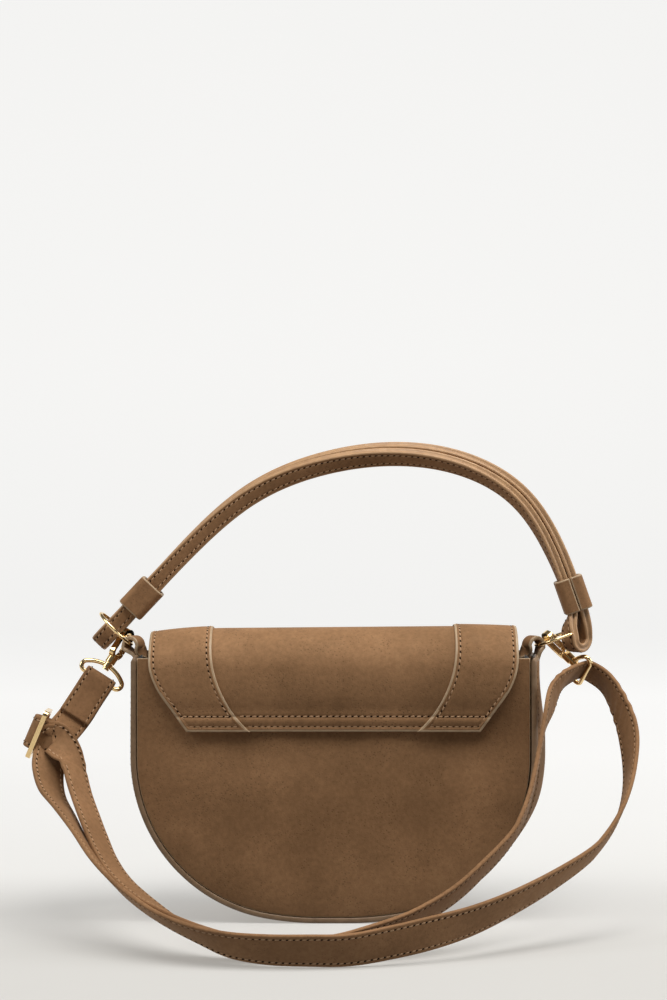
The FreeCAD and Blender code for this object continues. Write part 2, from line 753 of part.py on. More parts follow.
outer_run_shares = (((1.463, -0.184, 0.718), 122), ((1.459, -0.259, 0.607), 104), ((1.424, -0.342, 0.502), 84),
                    ((1.354, -0.424, 0.407), 68), ((1.232, -0.525, 0.319), 58), ((1.038, -0.639, 0.244), 47),
                    ((0.833, -0.741, 0.181), 38), ((0.636, -0.829, 0.134), 27), ((0.444, -0.899, 0.105), 17),
                    ((0.256, -0.949, 0.082), 18), ((0.071, -0.981, 0.0635), 22), ((-0.112, -0.994, 0.064), 24),
                    ((-0.296, -0.984, 0.065), 28), ((-0.469, -0.956, 0.075), 38), ((-0.619, -0.911, 0.102), 54),
                    ((-0.766, -0.854, 0.139), 62), ((-0.880, -0.791, 0.178), 64), ((-0.996, -0.715, 0.229), 70),
                    ((-1.100, -0.633, 0.296), 80), ((-1.198, -0.532, 0.373), 82), ((-1.292, -0.424, 0.451), 98),
                    ((-1.367, -0.335, 0.508), 122), ((-1.400, -0.259, 0.569), 150),
                    ((-1.403, -0.203, 0.626), 168))

# Beside the right-hand strap ring, each place has the direction that the outer side faces.
rise_shares = (((1.072, -0.203, 0.838), (-0.75, 0.6, 0.2)), ((1.119, -0.127, 0.884), (-0.78, 0.5, 0.35)),
               ((1.185, -0.038, 0.918), (-0.62, 0.42, 0.65)))
fall_shares = (((1.361, 0.011, 0.903), (0.68, 0.5, 0.5)), ((1.396, -0.038, 0.880), (0.85, 0.45, 0.25)),
               ((1.432, -0.115, 0.803), (0.9, 0.43, 0.05)))

# Where the strap opens out at a bar, as shares of its turn round that bar
neck_reach_share = 2.0
neck_gap_share = 0.8
slider_in_shares = ((1.5, 1.55), (0.6, 1.05), (-0.5, 1.0))
slider_out_shares = ((-0.5, -1.0), (0.6, -1.05), (1.5, -1.3))
bar_run_shares = ((4.2, 0.9), (2.4, 0.8))
bar_tail_shares = ((2.4, -0.8), (5.2, -0.5))
turn_angles = (30, 60, 90, 120, 150)
wide_turn_angles = (60, 90, 120)
wrap_angles = (0, 45, 90, 135, 180)


def wrap_radius(bar):
    return bar + move_gap + strap_wall / 2


def half_turn(centre, first_way, middle_way, radius, degrees):
    """Stations round a bar, their angle counted from first_way towards middle_way."""
    stations = []
    for angle in (math.radians(d) for d in degrees):
        way = first_way * math.cos(angle) + middle_way * math.sin(angle)
        stations.append((centre + way * radius, way))
    return stations


def left_end():
    """The sewn end: a tail, the turn round the strap ring's bar and the run to the slider."""
    swivel, axis, across = hooks["left"]
    bar = swivel - axis * dee_height
    front = unit(axis.cross(across))
    front = front if front.y < 0 else front * -1
    turn = wrap_radius(dee_wire)
    pressed = strap_wall / 2 + bond_gap
    neck = turn * neck_reach_share
    neck_gap = turn * neck_gap_share
    tail = [(bar - axis * strap_fold + front * pressed, front),
            (bar - axis * (strap_fold / 2) + front * pressed, front),
            (bar - axis * neck + front * neck_gap, front)]
    run = [(bar - axis * neck - front * neck_gap, front * -1),
           (bar - axis * (strap_fold / 2) - front * pressed, front * -1),
           (bar - axis * strap_fold - front * pressed, front * -1)]
    return tail + half_turn(bar, front, axis, turn, wrap_angles) + run


def slider_pass():
    """In through the slider's far window, over its bar and out of the near window."""
    def beside(forward, deep):
        return slider_centre + slider_face * (slider_turn * forward) + slider_deep * (slider_turn * deep)

    way_in = [(beside(*share), slider_deep) for share in slider_in_shares]
    way_out = [(beside(*share), slider_deep * -1) for share in slider_out_shares]
    back = slider_centre - slider_face * (slider_turn / 2)
    over = half_turn(back, slider_deep, slider_face * -1, slider_turn, turn_angles)
    return way_in + over + way_out


def right_turn():
    """Over the bar of the right-hand strap ring."""
    swivel, axis, across = hooks["right"]
    bar = swivel - axis * dee_height
    over = unit(across.cross(V(1, 0, 0)))
    over = over if over.z > 0 else over * -1
    ahead = square_to(V(1, 0, 0), across)
    return half_turn(bar, ahead * -1, over, wrap_radius(dee_wire), wide_turn_angles)


def slider_end():
    """Round the slider's bar, with the tail sewn back."""
    turn = wrap_radius(slider_bar_radius)

    def beside(forward, deep):
        return slider_centre + slider_face * (turn * forward) + slider_deep * (turn * deep)

    run = [(beside(*share), slider_deep) for share in bar_run_shares]
    tail = [(beside(*share), slider_deep * -1) for share in bar_tail_shares]
    return run + half_turn(slider_centre, slider_deep, slider_face * -1, turn, wrap_angles) + tail


def hanging_run(shares):
    """A run between the rings, its outer side turned by the angle beside each place."""
    points = [route_point(place) for place, _ in shares]
    last = len(points) - 1
    to_viewer = BACK_TO_FRONT * -1
    stations = []
    for i, (_, degrees) in enumerate(shares):
        aside = unit(to_viewer.cross(points[min(i + 1, last)] - points[max(i - 1, 0)]))
        turn = math.radians(degrees)
        stations.append((points[i], to_viewer * math.cos(turn) + aside * math.sin(turn)))
    return stations


strap_stations = left_end() + slider_pass()
strap_stations += hanging_run(inner_run_shares)
strap_stations += [(route_point(s), V(*face)) for s, face in rise_shares]
strap_stations += right_turn()
strap_stations += [(route_point(s), V(*face)) for s, face in fall_shares]
strap_stations += hanging_run(outer_run_shares)
strap_stations += slider_end()
save("shoulder_strap", ribbon(strap_stations, strap_width, strap_wall))

strap_length = sum((b[0] - a[0]).Length for a, b in zip(strap_stations, strap_stations[1:]))
print("shoulder strap length", round(strap_length, 1))
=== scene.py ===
"""Looks of the saddle handbag: leather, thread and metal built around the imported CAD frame."""

import json
import math

import bmesh
import bpy
import numpy as np
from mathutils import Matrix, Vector


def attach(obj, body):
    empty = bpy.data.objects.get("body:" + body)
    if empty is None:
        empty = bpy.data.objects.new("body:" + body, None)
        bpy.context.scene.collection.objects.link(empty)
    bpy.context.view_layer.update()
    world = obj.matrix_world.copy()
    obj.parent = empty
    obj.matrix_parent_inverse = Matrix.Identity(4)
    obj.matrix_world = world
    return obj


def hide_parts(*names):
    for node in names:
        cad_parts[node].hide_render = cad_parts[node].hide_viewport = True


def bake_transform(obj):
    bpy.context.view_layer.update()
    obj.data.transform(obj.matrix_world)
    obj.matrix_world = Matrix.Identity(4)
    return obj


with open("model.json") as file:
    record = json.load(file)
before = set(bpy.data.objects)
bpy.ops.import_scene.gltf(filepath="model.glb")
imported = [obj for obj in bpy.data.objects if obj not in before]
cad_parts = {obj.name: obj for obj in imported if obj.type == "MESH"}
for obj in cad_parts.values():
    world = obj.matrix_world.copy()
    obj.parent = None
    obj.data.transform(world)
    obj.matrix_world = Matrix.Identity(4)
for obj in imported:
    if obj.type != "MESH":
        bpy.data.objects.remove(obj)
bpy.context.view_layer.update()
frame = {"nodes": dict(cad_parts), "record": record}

MM = 0.001
X, Y, Z = np.eye(3)

# Sizes shared with the CAD frame, in millimetres
panel_half_w, panel_top_z, half_depth = 114.0, 149.0, 35.0
gusset_wall, panel_wall, lining_wall, bond_gap = 3.2, 2.4, 0.8, 0.15
body_d = dict(half_w=panel_half_w, low=0.0, flat=8.0, base_r=170.0, side_r=92.0)
flap_wall, flap_half_w, flap_top_z, flap_bend = 2.8, 104.0, 167.0, 20.0
flap_back_low, flap_corner_half_w, flap_cut_angle, flap_side_r = 108.0, 82.5, 35.5, 43.0
flap_front_low = 46.0
front_d = dict(half_w=flap_half_w, low=flap_front_low, flat=6.0, base_r=150.0, side_r=84.0)
overlay_wall, overlay_edge_x, overlay_bend_z = 1.2, 68.5, 157.0
overlay_back_r, overlay_front_r = 66.0, 150.0
flap_back_y, flap_front_y = -35.15, 39.55
bend_z = flap_top_z - flap_wall - flap_bend
stitch_pitch = 3.5


# Materials

cloud_scale, patch_scale, rough_scale, mottle_scale, pore_scale, grain_scale = 22, 70, 130, 430, 600, 1100
pore_tone = 0.35
black, white = (0, 0, 0), (1, 1, 1)


def give(socket, value):
    """Set a socket, or link it to the one that feeds it."""
    if isinstance(value, bpy.types.NodeSocket):
        socket.id_data.links.new(value, socket)
    else:
        socket.default_value = value


def settle(made, **values):
    """Give a node its sockets, with _ for the spaces in their names, or its own settings."""
    for key, value in values.items():
        name = key.replace("_", " ")
        if name in made.inputs:
            give(made.inputs[name], value)
        else:
            setattr(made, key, value)
    return made


def node(tree, kind, **values):
    return settle(tree.nodes.new(kind), **values)


def shader(name):
    """A new material, its principled shader and the object's own coordinates."""
    material = bpy.data.materials.new(name)
    material.use_nodes = True
    tree = material.node_tree
    return material, tree.nodes["Principled BSDF"], node(tree, "ShaderNodeTexCoord").outputs["Object"]


def ramp(source, *stops):
    """A colour ramp fed by a value."""
    made = node(source.id_data, "ShaderNodeValToRGB", Fac=source)
    for i, (place, colour) in enumerate(stops):
        stop = made.color_ramp.elements[i] if i < 2 else made.color_ramp.elements.new(place)
        stop.position = place
        stop.color = (*colour, 1)
    return made.outputs["Color"]


def grey(value):
    return (value,) * 3


def noise(coords, scale, detail, roughness=0.55):
    return node(coords.id_data, "ShaderNodeTexNoise", Vector=coords, Scale=scale, Detail=detail,
                Roughness=roughness).outputs["Fac"]


def twill(coords, scale, distortion):
    """Slanted bands, as of twisted thread or woven cloth."""
    return node(coords.id_data, "ShaderNodeTexWave", Vector=coords, Scale=scale, Distortion=distortion,
                bands_direction="DIAGONAL").outputs["Fac"]


def mix(kind, factor, low, high):
    """Mix a colour with another; the share and the second colour may be given or fed."""
    made = node(low.id_data, "ShaderNodeMix", data_type="RGBA", blend_type=kind)
    for place, value in ((0, factor), (6, low), (7, high)):
        give(made.inputs[place], value)
    return made.outputs[2]


def combine(operation, first, second):
    """Work out one value from two."""
    made = node(first.id_data, "ShaderNodeMath", operation=operation)
    give(made.inputs[0], first)
    give(made.inputs[1], second)
    return made.outputs[0]


def share_along(coords, axis, low, high):
    """How far a place is along an axis, as a share of the way from low to high."""
    split = node(coords.id_data, "ShaderNodeSeparateXYZ", Vector=coords)
    return node(coords.id_data, "ShaderNodeMapRange", Value=split.outputs[axis], From_Min=low,
                From_Max=high).outputs[0]


def bump(height, strength, depth):
    """Fine relief, its depth in metres."""
    return node(height.id_data, "ShaderNodeBump", Height=height, Strength=strength,
                Distance=depth).outputs["Normal"]


def leather(name, dark, light, pore_share, grain_share):
    """Matte brushed leather: cloudy tone, fine mottling and small dark pores."""
    material, bsdf, coords = shader(name)
    cloud = ramp(noise(coords, cloud_scale, 3), (0.36, dark), (0.64, light))
    mottle = ramp(noise(coords, mottle_scale, 5), (0.30, (0.83, 0.82, 0.81)), (0.72, grey(1.09)))
    tone = mix("MULTIPLY", 1.0, cloud, mottle)
    cells = node(coords.id_data, "ShaderNodeTexVoronoi", Vector=coords, Scale=pore_scale, Randomness=1.0)
    pore = ramp(cells.outputs["Distance"], (0.14, white), (0.32, black))
    patch = ramp(noise(coords, patch_scale, 3), (0.38, black), (0.60, white))
    amount = combine("MULTIPLY", mix("MULTIPLY", 1.0, pore, patch), pore_share)
    grain = combine("SUBTRACT", noise(coords, grain_scale, 3, 0.6), amount)
    settle(bsdf, Base_Color=mix("MIX", amount, tone, (*(pore_tone * c for c in dark), 1)),
           Roughness=ramp(noise(coords, rough_scale, 4), (0.25, grey(0.62)), (0.8, grey(0.84))),
           Normal=bump(grain, grain_share, 0.0004), Sheen_Weight=0.10, Sheen_Roughness=0.5,
           Sheen_Tint=(0.90, 0.56, 0.28, 1), Specular_IOR_Level=0.30, Specular_Tint=(1.0, 0.72, 0.45, 1))
    return material


def painted_edge(name, dark, light):
    """Edge paint, a little uneven, with a soft shine."""
    material, bsdf, coords = shader(name)
    settle(bsdf, Base_Color=ramp(noise(coords, 220, 4), (0.3, dark), (0.72, light)),
           Roughness=ramp(noise(coords, 500, 3), (0.3, grey(0.42)), (0.8, grey(0.62))),
           Normal=bump(noise(coords, 700, 3), 0.25, 0.0003))
    return material


def thread(name, dark, light):
    """Twisted sewing thread."""
    material, bsdf, coords = shader(name)
    strands = twill(coords, 900.0, 1.5)
    settle(bsdf, Base_Color=ramp(strands, (0.2, dark), (0.8, light)), Roughness=0.6,
           Normal=bump(strands, 0.4, 0.0002))
    return material


def needle_hole_painted_shade(name, dark, light):
    """Painted shade: a near-black mark where the thread dives into the leather, standing in for the needle
    hole's shade.
    """
    material, bsdf, coords = shader(name)
    settle(bsdf, Base_Color=ramp(noise(coords, 600, 2), (0.3, dark), (0.7, light)), Roughness=0.9,
           Specular_IOR_Level=0.05)
    return material


def gold(name, dark, light):
    """Polished pale gold plating with faint handling marks."""
    material, bsdf, coords = shader(name)
    settle(bsdf, Base_Color=ramp(noise(coords, 60, 3), (0.3, dark), (0.75, light)), Metallic=1.0,
           Roughness=ramp(noise(coords, 900, 4), (0.3, grey(0.10)), (0.8, grey(0.22))))
    return material


def lining_cloth(name, dark, light):
    """Twill."""
    material, bsdf, coords = shader(name)
    weave = twill(coords, 700.0, 0.4)
    settle(bsdf, Base_Color=ramp(weave, (0.2, dark), (0.8, light)), Roughness=0.85, Sheen_Weight=0.2,
           Normal=bump(weave, 0.3, 0.0003))
    return material


body_leather = leather("body_leather", (0.203, 0.109, 0.052), (0.280, 0.153, 0.075), 0.55, 0.35)
strap_leather = leather("strap_leather", (0.210, 0.111, 0.053), (0.280, 0.151, 0.074), 0.4, 0.3)
# The straps' back side: the same leather, painted a little darker as painted shade
strap_back_painted_shade = leather("strap_back_painted_shade", (0.195, 0.103, 0.049), (0.260, 0.139, 0.067), 0.4, 0.3)
edge_paint = painted_edge("edge_paint", (0.33, 0.225, 0.130), (0.41, 0.290, 0.175))
rim_paint = painted_edge("rim_paint", (0.165, 0.100, 0.052), (0.225, 0.142, 0.078))
handle_edge = painted_edge("handle_edge", (0.34, 0.19, 0.090), (0.44, 0.26, 0.125))
seam_thread = thread("seam_thread", (0.34, 0.195, 0.098), (0.50, 0.305, 0.165))
# Near-black painted shade for the needle holes
painted_hole_shade = needle_hole_painted_shade("needle_hole_painted_shade", (0.012, 0.006, 0.003), (0.030, 0.015, 0.008))
gold_metal = gold("gold_metal", (0.86, 0.60, 0.28), (0.94, 0.72, 0.40))
black_twill = lining_cloth("black_twill", (0.006, 0.006, 0.007), (0.020, 0.019, 0.019))


# Mesh building

def unit(v):
    v = np.asarray(v, float)
    return v / np.linalg.norm(v, axis=-1, keepdims=True)


def square_to(v, axis):
    return unit(np.asarray(v, float) - axis * np.dot(v, axis))


def smoothstep(value, low, high):
    t = np.clip((value - low) / (high - low), 0, 1)
    return t * t * (3 - 2 * t)


def ridge(at, place, width, height):
    """A rounded ridge at a place."""
    return height * np.exp(-((at - place) / width) ** 2)


def sideways(points):
    """Directions to the left of the way a flat run of points goes."""
    way = unit(np.gradient(points, axis=0))
    return np.stack([-way[:, 1], way[:, 0]], axis=1)


def lengths_along(points):
    """Each point's distance from the first one, along the run."""
    return np.concatenate([[0], np.cumsum(np.linalg.norm(np.diff(points, axis=0), axis=1))])


def between(at, marks, rows):
    """Rows of numbers read off at other marks than their own."""
    return np.array([np.interp(at, marks, rows[:, k]) for k in range(rows.shape[1])]).T


def grid(*parts):
    """Rows and columns of places from their coordinates, each spread over the rows or columns it lacks."""
    return np.stack(np.broadcast_arrays(*parts), axis=-1)


def ring_faces(rings, count, first=0):
    """Faces between rings of points that follow one another, numbered from first."""
    faces = []
    for start in range(first, first + (rings - 1) * count, count):
        for j in range(count):
            k = (j + 1) % count
            faces.append((start + j, start + k, start + count + k, start + count + j))
    return faces


def piece(name, verts, faces, materials, slots, flat=()):
    """A smooth mesh object, given in millimetres, with one material index per face."""
    mesh = bpy.data.meshes.new(name)
    mesh.from_pydata([tuple(v) for v in np.asarray(verts) * MM], [], faces)
    for material in materials:
        mesh.materials.append(material)
    mesh.polygons.foreach_set("material_index", slots)
    smooth = [True] * len(faces)
    for i in flat:
        smooth[i] = False
    mesh.polygons.foreach_set("use_smooth", smooth)
    work = bmesh.new()
    work.from_mesh(mesh)
    bmesh.ops.remove_doubles(work, verts=work.verts, dist=2e-6)
    bmesh.ops.recalc_face_normals(work, faces=work.faces)
    work.to_mesh(mesh)
    work.free()
    made = bpy.data.objects.new(name, mesh)
    bpy.context.collection.objects.link(made)
    return made


def sheet_piece(name, middle, normal, gap, wall, round_r, materials, relief=0.0, paint=0.0):
    """A leather sheet given as rows and columns of its middle layer. gap is each point's distance
    from the nearest cut edge: edges are rounded by round_r and painted over the width paint."""
    rows, cols, _ = middle.shape
    reach = np.clip(1 - gap / round_r, 0, 1)
    half = wall / 2 - round_r * (1 - np.sqrt(1 - reach ** 2))
    front = middle + normal * (half + relief)[..., None]
    back = middle - normal * half[..., None]
    verts = np.concatenate([front.reshape(-1, 3), back.reshape(-1, 3)])
    count = rows * cols
    ids = np.arange(count).reshape(rows, cols)
    quads = np.stack([ids[:-1, :-1], ids[:-1, 1:], ids[1:, 1:], ids[1:, :-1]], axis=-1).reshape(-1, 4)
    painted = (gap.reshape(-1)[quads].mean(axis=1) <= paint).astype(int)
    ring = np.concatenate([ids[0, :-1], ids[:-1, -1], ids[-1, :0:-1], ids[:0:-1, 0]])
    after = np.roll(ring, -1)
    rim = np.stack([after, ring, ring + count, after + count], axis=1)
    faces = np.concatenate([quads, quads[:, ::-1] + count, rim])
    slots = np.concatenate([painted, painted, np.ones(len(rim), int)])
    return piece(name, verts, faces.tolist(), materials, slots.tolist())


def catmull(points, steps):
    """Points on a smooth curve through rows of numbers."""
    points = np.asarray(points, float)
    padded = np.vstack([2 * points[0] - points[1], points, 2 * points[-1] - points[-2]])
    out = []
    for i in range(1, len(padded) - 2):
        a, b, c, d = padded[i - 1:i + 3]
        for t in np.arange(steps) / steps:
            out.append(0.5 * (2 * b + (c - a) * t + (2 * a - 5 * b + 4 * c - d) * t ** 2
                              + (3 * b - a - 3 * c + d) * t ** 3))
    out.append(points[-1])
    return np.array(out)


def smooth_rows(points, rounds):
    """Even out a run of points, keeping its ends."""
    points = points.copy()
    for _ in range(rounds):
        points[1:-1] = 0.25 * points[:-2] + 0.5 * points[1:-1] + 0.25 * points[2:]
    return points


def strap_frames(stations, steps, rounds, easy=None):
    """Centres, tangents, face directions and across directions along a strap. The stations between
    the two numbers in easy are evened out further."""
    rows = smooth_rows(catmull([np.concatenate([c, unit(f)]) for c, f in stations], steps), rounds)
    if easy:
        part = slice(easy[0] * steps, easy[1] * steps)
        rows[part] = smooth_rows(rows[part], 40)
    centres, faces = rows[:, :3], rows[:, 3:]
    along = unit(np.gradient(centres, axis=0))
    thick = unit(faces - along * np.sum(faces * along, axis=1, keepdims=True))
    return centres, along, thick, np.cross(along, thick)


def strap_profile(width, wall, round_r, row_gap, groove, crown, notch):
    """Points (across, thick, slot) round a strap's section. Slots: 0 face, 1 painted edge, 2 back."""
    half = width / 2
    row = half - row_gap
    right = np.array([half - round_r, row + 0.8, row + 0.35, row, row - 0.35, row - 0.8, 0.5 * row])
    right = np.unique(np.clip(right, 0.3, half - round_r))[::-1]
    spread = np.concatenate([right, [0.0], -right[::-1]])
    lift = crown * (1 - (spread / half) ** 2)
    heights = wall / 2 + lift - ridge(np.abs(spread), row, 0.4, groove)
    top = [(a, h, 0) for a, h in zip(spread, heights)]
    bottom = [(-a, -h, 2) for a, h in zip(spread, heights)]
    turns = np.radians([25, 50, 75, 90])
    corner = [(half - round_r + round_r * math.sin(t), wall / 2 - round_r + round_r * math.cos(t))
              for t in turns]
    lips = [(half, notch), (half - 1.5 * notch, 0.0), (half, -notch)] if notch else []
    edge = corner + lips + [(a, -b) for a, b in corner[::-1]]
    left = [(-a, b, 1) for a, b in edge]
    return top + left + bottom + [(-a, -b, 1) for a, b, _ in left]


def strap(name, frames, profile, materials, ripple=None):
    """Sweep a section along a strap's frames and close both ends."""
    centres, _, thick, across = frames
    a, b = np.array([p[:2] for p in profile]).T
    kinds = [p[2] for p in profile]
    rows, cols = len(centres), len(profile)
    lift = b + (ripple(a) if ripple else np.zeros((rows, 1)))
    verts = centres[:, None] + across[:, None] * a[None, :, None] + thick[:, None] * lift[..., None]
    faces = ring_faces(rows, cols)
    slots = [this if this == after else 1 for this, after in zip(kinds, kinds[1:] + kinds[:1])] * (rows - 1)
    ends = (len(faces), len(faces) + 1)
    faces += [tuple(range(cols)), tuple(range((rows - 1) * cols, rows * cols))]
    slots += [1, 1]
    return piece(name, verts.reshape(-1, 3), faces, materials, slots, ends)


def strap_row(frames, across_at, height):
    """Places and normals of a stitch row along a strap."""
    centres, _, thick, across = frames
    return centres + across * across_at + thick * height, thick * math.copysign(1, height)


# Stitching

thread_long, thread_wide, thread_high, thread_lift, thread_lean = 0.36, 0.40, 0.24, 0.06, 0.14
# Sizes of the near-black beads that paint shade into the needle holes
hole_long, hole_wide, hole_high, hole_lean = 0.75, 0.50, 0.16, 0.45


def evenly(points):
    """Middles of stitches along a run of points."""
    total = lengths_along(points[:, :3])
    count = max(2, int(round(total[-1] / stitch_pitch)))
    at = (np.arange(count) + 0.5) * total[-1] / count
    return between(at, total, points)


def beads(spots, sides=8, rings=5):
    """Small rounded bodies, each given as centre, long axis, up axis and three half sizes."""
    polar = math.pi * (np.arange(rings) + 0.5) / rings
    turn = 2 * math.pi * np.arange(sides) / sides
    verts, faces = [], []
    for centre, long_way, up, half_long, half_wide, half_high in spots:
        wide = np.cross(up, long_way)
        first = len(verts) * rings * sides
        verts.append((centre + long_way * (half_long * np.cos(polar))[:, None, None]
                      + wide * (half_wide * np.sin(polar)[:, None] * np.cos(turn))[..., None]
                      + up * (half_high * np.sin(polar)[:, None] * np.sin(turn))[..., None]).reshape(-1, 3))
        faces += ring_faces(rings, sides, first)
        last = first + (rings - 1) * sides
        faces += [tuple(range(first, first + sides)), tuple(range(last, last + sides))]
    return np.concatenate(verts), faces


def stitches(name, rows, show=0.8):
    """Thread, and near-black beads of painted shade at the needle holes, along rows of (places, normals), as
    one piece.
    """
    thread_spots, hole_spots = [], []
    for points, normals in rows:
        run = evenly(np.hstack([points, normals]))
        places, ups = run[:, :3], unit(run[:, 3:])
        ways = unit(np.gradient(places, axis=0))
        ways = unit(ways - ups * np.sum(ways * ups, axis=1, keepdims=True))
        for place, up, way in zip(places, ups, ways):
            side = np.cross(up, way)
            thread_spots.append((place + up * thread_lift * show, unit(way + thread_lean * side), up,
                                 thread_long * stitch_pitch, thread_wide, thread_high * show))
            # A near-black bead between stitches: painted shade in the needle hole
            hole_spots.append((place + way * (stitch_pitch / 2), unit(way + hole_lean * side), up,
                               hole_long, hole_wide, hole_high))
    verts, faces = beads(thread_spots + hole_spots)
    half = len(faces) // 2
    return piece(name, verts, faces, [seam_thread, painted_hole_shade], [0] * half + [1] * half)


# Bag body

panel_hub, panel_round = np.array([0.0, 82.0]), 0.8
panel_gaps = (0.0, 0.2, 0.5, 0.9, 1.6, 2.8, 5.0, 9.0, 15.0, 23.0, 33.0, 44.0, 56.0)
panel_recess = 0.45
swell_depth, swell_ease, swell_top = 2.2, 10.0, (70.0, 108.0)
slack_depth, slack_x, slack_z, slack_start = 0.35, 31.0, 27.0, 0.6
belly_sides, belly_low, belly_high, belly_ease = (8.0, 1.5), (15.0, 75.0), (100.0, 140.0), 0.45
belly_round, gusset_row_inset = 0.8, 4.0
lining_front_short, lining_side_gap, lining_panel_gap = 5.0, 0.02, 0.1


def d_parts(d):
    """Middle of a D's side arc (x, z), and the angle where that arc meets the base arc."""
    side_x = d["half_w"] - d["side_r"]
    rise = math.sqrt((d["base_r"] - d["side_r"]) ** 2 - (side_x - d["flat"]) ** 2)
    return side_x, d["low"] + d["base_r"] - rise, math.atan2(side_x - d["flat"], rise)


def d_half_width(z, d):
    """Half the width of a D outline at a height."""
    side_x, side_z, join = d_parts(d)
    if z >= side_z:
        return d["half_w"]
    if z >= side_z - d["side_r"] * math.cos(join):
        return side_x + math.sqrt(max(d["side_r"] ** 2 - (side_z - z) ** 2, 0))
    return d["flat"] + math.sqrt(max(d["base_r"] ** 2 - (d["low"] + d["base_r"] - z) ** 2, 0))


def d_path(d, top_z, inset, count):
    """Points (x, z) round a D from its right top corner, under the base, to its left one."""
    side_x, side_z, join = d_parts(d)
    half = [(d["half_w"] - inset, z) for z in np.linspace(top_z, side_z, count // 6)]
    for angle in np.linspace(math.pi / 2, join, count // 4)[1:]:
        reach = d["side_r"] - inset
        half.append((side_x + reach * math.sin(angle), side_z - reach * math.cos(angle)))
    for angle in np.linspace(join, 0, count // 6)[1:]:
        reach = d["base_r"] - inset
        half.append((d["flat"] + reach * math.sin(angle), d["low"] + d["base_r"] - reach * math.cos(angle)))
    return np.array(half + [(-x, z) for x, z in half[::-1]])


def face_panel(name, inset, outer_y, wall, swell, materials, top_z=panel_top_z):
    """A panel of rings drawn in from its outline; swell gives how far each place bellies out."""
    outline = d_path(body_d, top_z, inset, 120)
    top = [(x, top_z) for x in np.linspace(outline[-1][0], outline[0][0], 40)[1:-1]]
    outline = np.concatenate([outline, top])
    side = math.copysign(1, outer_y)
    hub_x, hub_z = panel_hub
    away = outline - panel_hub
    length = np.linalg.norm(away, axis=1, keepdims=True)
    count = len(outline)
    verts, faces, slots = [], [], []
    for layer in (1, -1):
        for gap in panel_gaps:
            drop = panel_round * (1 - math.sqrt(1 - max(0, 1 - gap / panel_round) ** 2))
            for x, z in panel_hub + away * (1 - gap / length):
                depth = drop - swell(x, z, gap) if layer == 1 else wall - drop
                verts.append((x, outer_y - side * depth, z))
        depth = -swell(hub_x, hub_z, panel_gaps[-1]) if layer == 1 else wall
        verts.append((hub_x, outer_y - side * depth, hub_z))
    per_layer = len(panel_gaps) * count + 1
    for base in (0, per_layer):
        faces += ring_faces(len(panel_gaps), count, base)
        slots += [int(gap <= panel_round) for gap in panel_gaps[1:] for _ in range(count)]
        last = base + (len(panel_gaps) - 1) * count
        faces += [(last + i, last + (i + 1) % count, base + per_layer - 1) for i in range(count)]
        slots += [0] * count
    faces += [(i, (i + 1) % count, per_layer + (i + 1) % count, per_layer + i) for i in range(count)]
    slots += [1] * count
    return piece(name, verts, faces, materials, slots)


def body_swell(x, z, gap):
    """The back panel's soft, slightly uneven belly, which fades out up to the flap's foot."""
    low = 1 - float(smoothstep(z, *swell_top))
    slack = slack_depth * math.sin(x / slack_x + slack_start) * math.sin(z / slack_z)
    return (swell_depth + slack) * low * (1 - math.exp(-gap / swell_ease))


def no_swell(x, z, gap):
    return 0.0


for node_name, way, swell in (("back_panel", -1, body_swell), ("front_panel", 1, no_swell)):
    made = face_panel(node_name + "_leather", gusset_wall + bond_gap, way * (half_depth - panel_recess),
                      panel_wall - panel_recess, swell, [body_leather, edge_paint])
    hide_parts(node_name)
    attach(made, "bag")


def gusset_belly(path):
    """How far the gusset bellies outwards at the middle of its depth, on the right and on the left."""
    z = path[:, 1]
    high = smoothstep(z, *belly_low) * (1 - belly_ease * smoothstep(z, *belly_high))
    return np.where(path[:, 0] > 0, *belly_sides) * high


def strip_round(name, inset, wall, depth, round_r, belly, materials, paint):
    """A strip of leather or cloth round the bag's sides and base."""
    path = d_path(body_d, panel_top_z, inset + wall / 2, 170)
    out = sideways(path)
    rim = np.array([0, 0.15, 0.4, 0.8, 1.4, 2.4, 4.0, 8.0])
    ys = np.concatenate([rim, np.linspace(13, 2 * depth - 13, 9), 2 * depth - rim[::-1]]) - depth
    middle = grid(path[:, :1], ys, path[:, 1:])
    normal = grid(out[:, :1], np.zeros_like(ys), out[:, 1:])
    push = belly(path)[:, None] * (np.cos(0.5 * math.pi * ys / depth) ** belly_round)[None, :]
    middle += normal * push[..., None]
    steps = lengths_along(path)
    gap_along = np.minimum(steps, steps[-1] - steps)
    gap = np.minimum(np.minimum(ys + depth, depth - ys)[None, :], gap_along[:, None])
    made = sheet_piece(name, middle, normal, gap, wall, round_r, materials, paint=paint)
    return made, middle + normal * (wall / 2), normal


gusset, gusset_skin, gusset_out = strip_round(
    "gusset_leather", 0.0, gusset_wall, half_depth, round_r=1.1, belly=gusset_belly,
    materials=[body_leather, rim_paint], paint=1.2)
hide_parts("gusset")
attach(gusset, "bag")
gusset_rows = []
for way in (-1, 1):
    y = way * (half_depth - gusset_row_inset)
    places = np.array([between(y, across[:, 1], across) for across in gusset_skin[2:-2]])
    gusset_rows.append((places, gusset_out[2:-2, 0]))
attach(stitches("gusset_stitches", gusset_rows, show=0.3), "bag")

lining_inset = gusset_wall + bond_gap
lining_depth = half_depth - panel_wall - bond_gap
lining_side, _, _ = strip_round(
    "lining_sides", lining_inset + lining_side_gap, lining_wall, lining_depth, round_r=0.3,
    belly=lambda path: np.zeros(len(path)), materials=[black_twill, black_twill], paint=0.0)
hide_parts("lining")
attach(lining_side, "bag")
for label, way, short in (("back", -1, 0.0), ("front", 1, lining_front_short)):
    made = face_panel("lining_" + label, lining_inset + lining_panel_gap, way * lining_depth, lining_wall,
                      no_swell, [black_twill, black_twill], panel_top_z - short)
    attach(made, "bag")


# Flap: rows run along the bend from the back's lower edge over the mouth to the front's

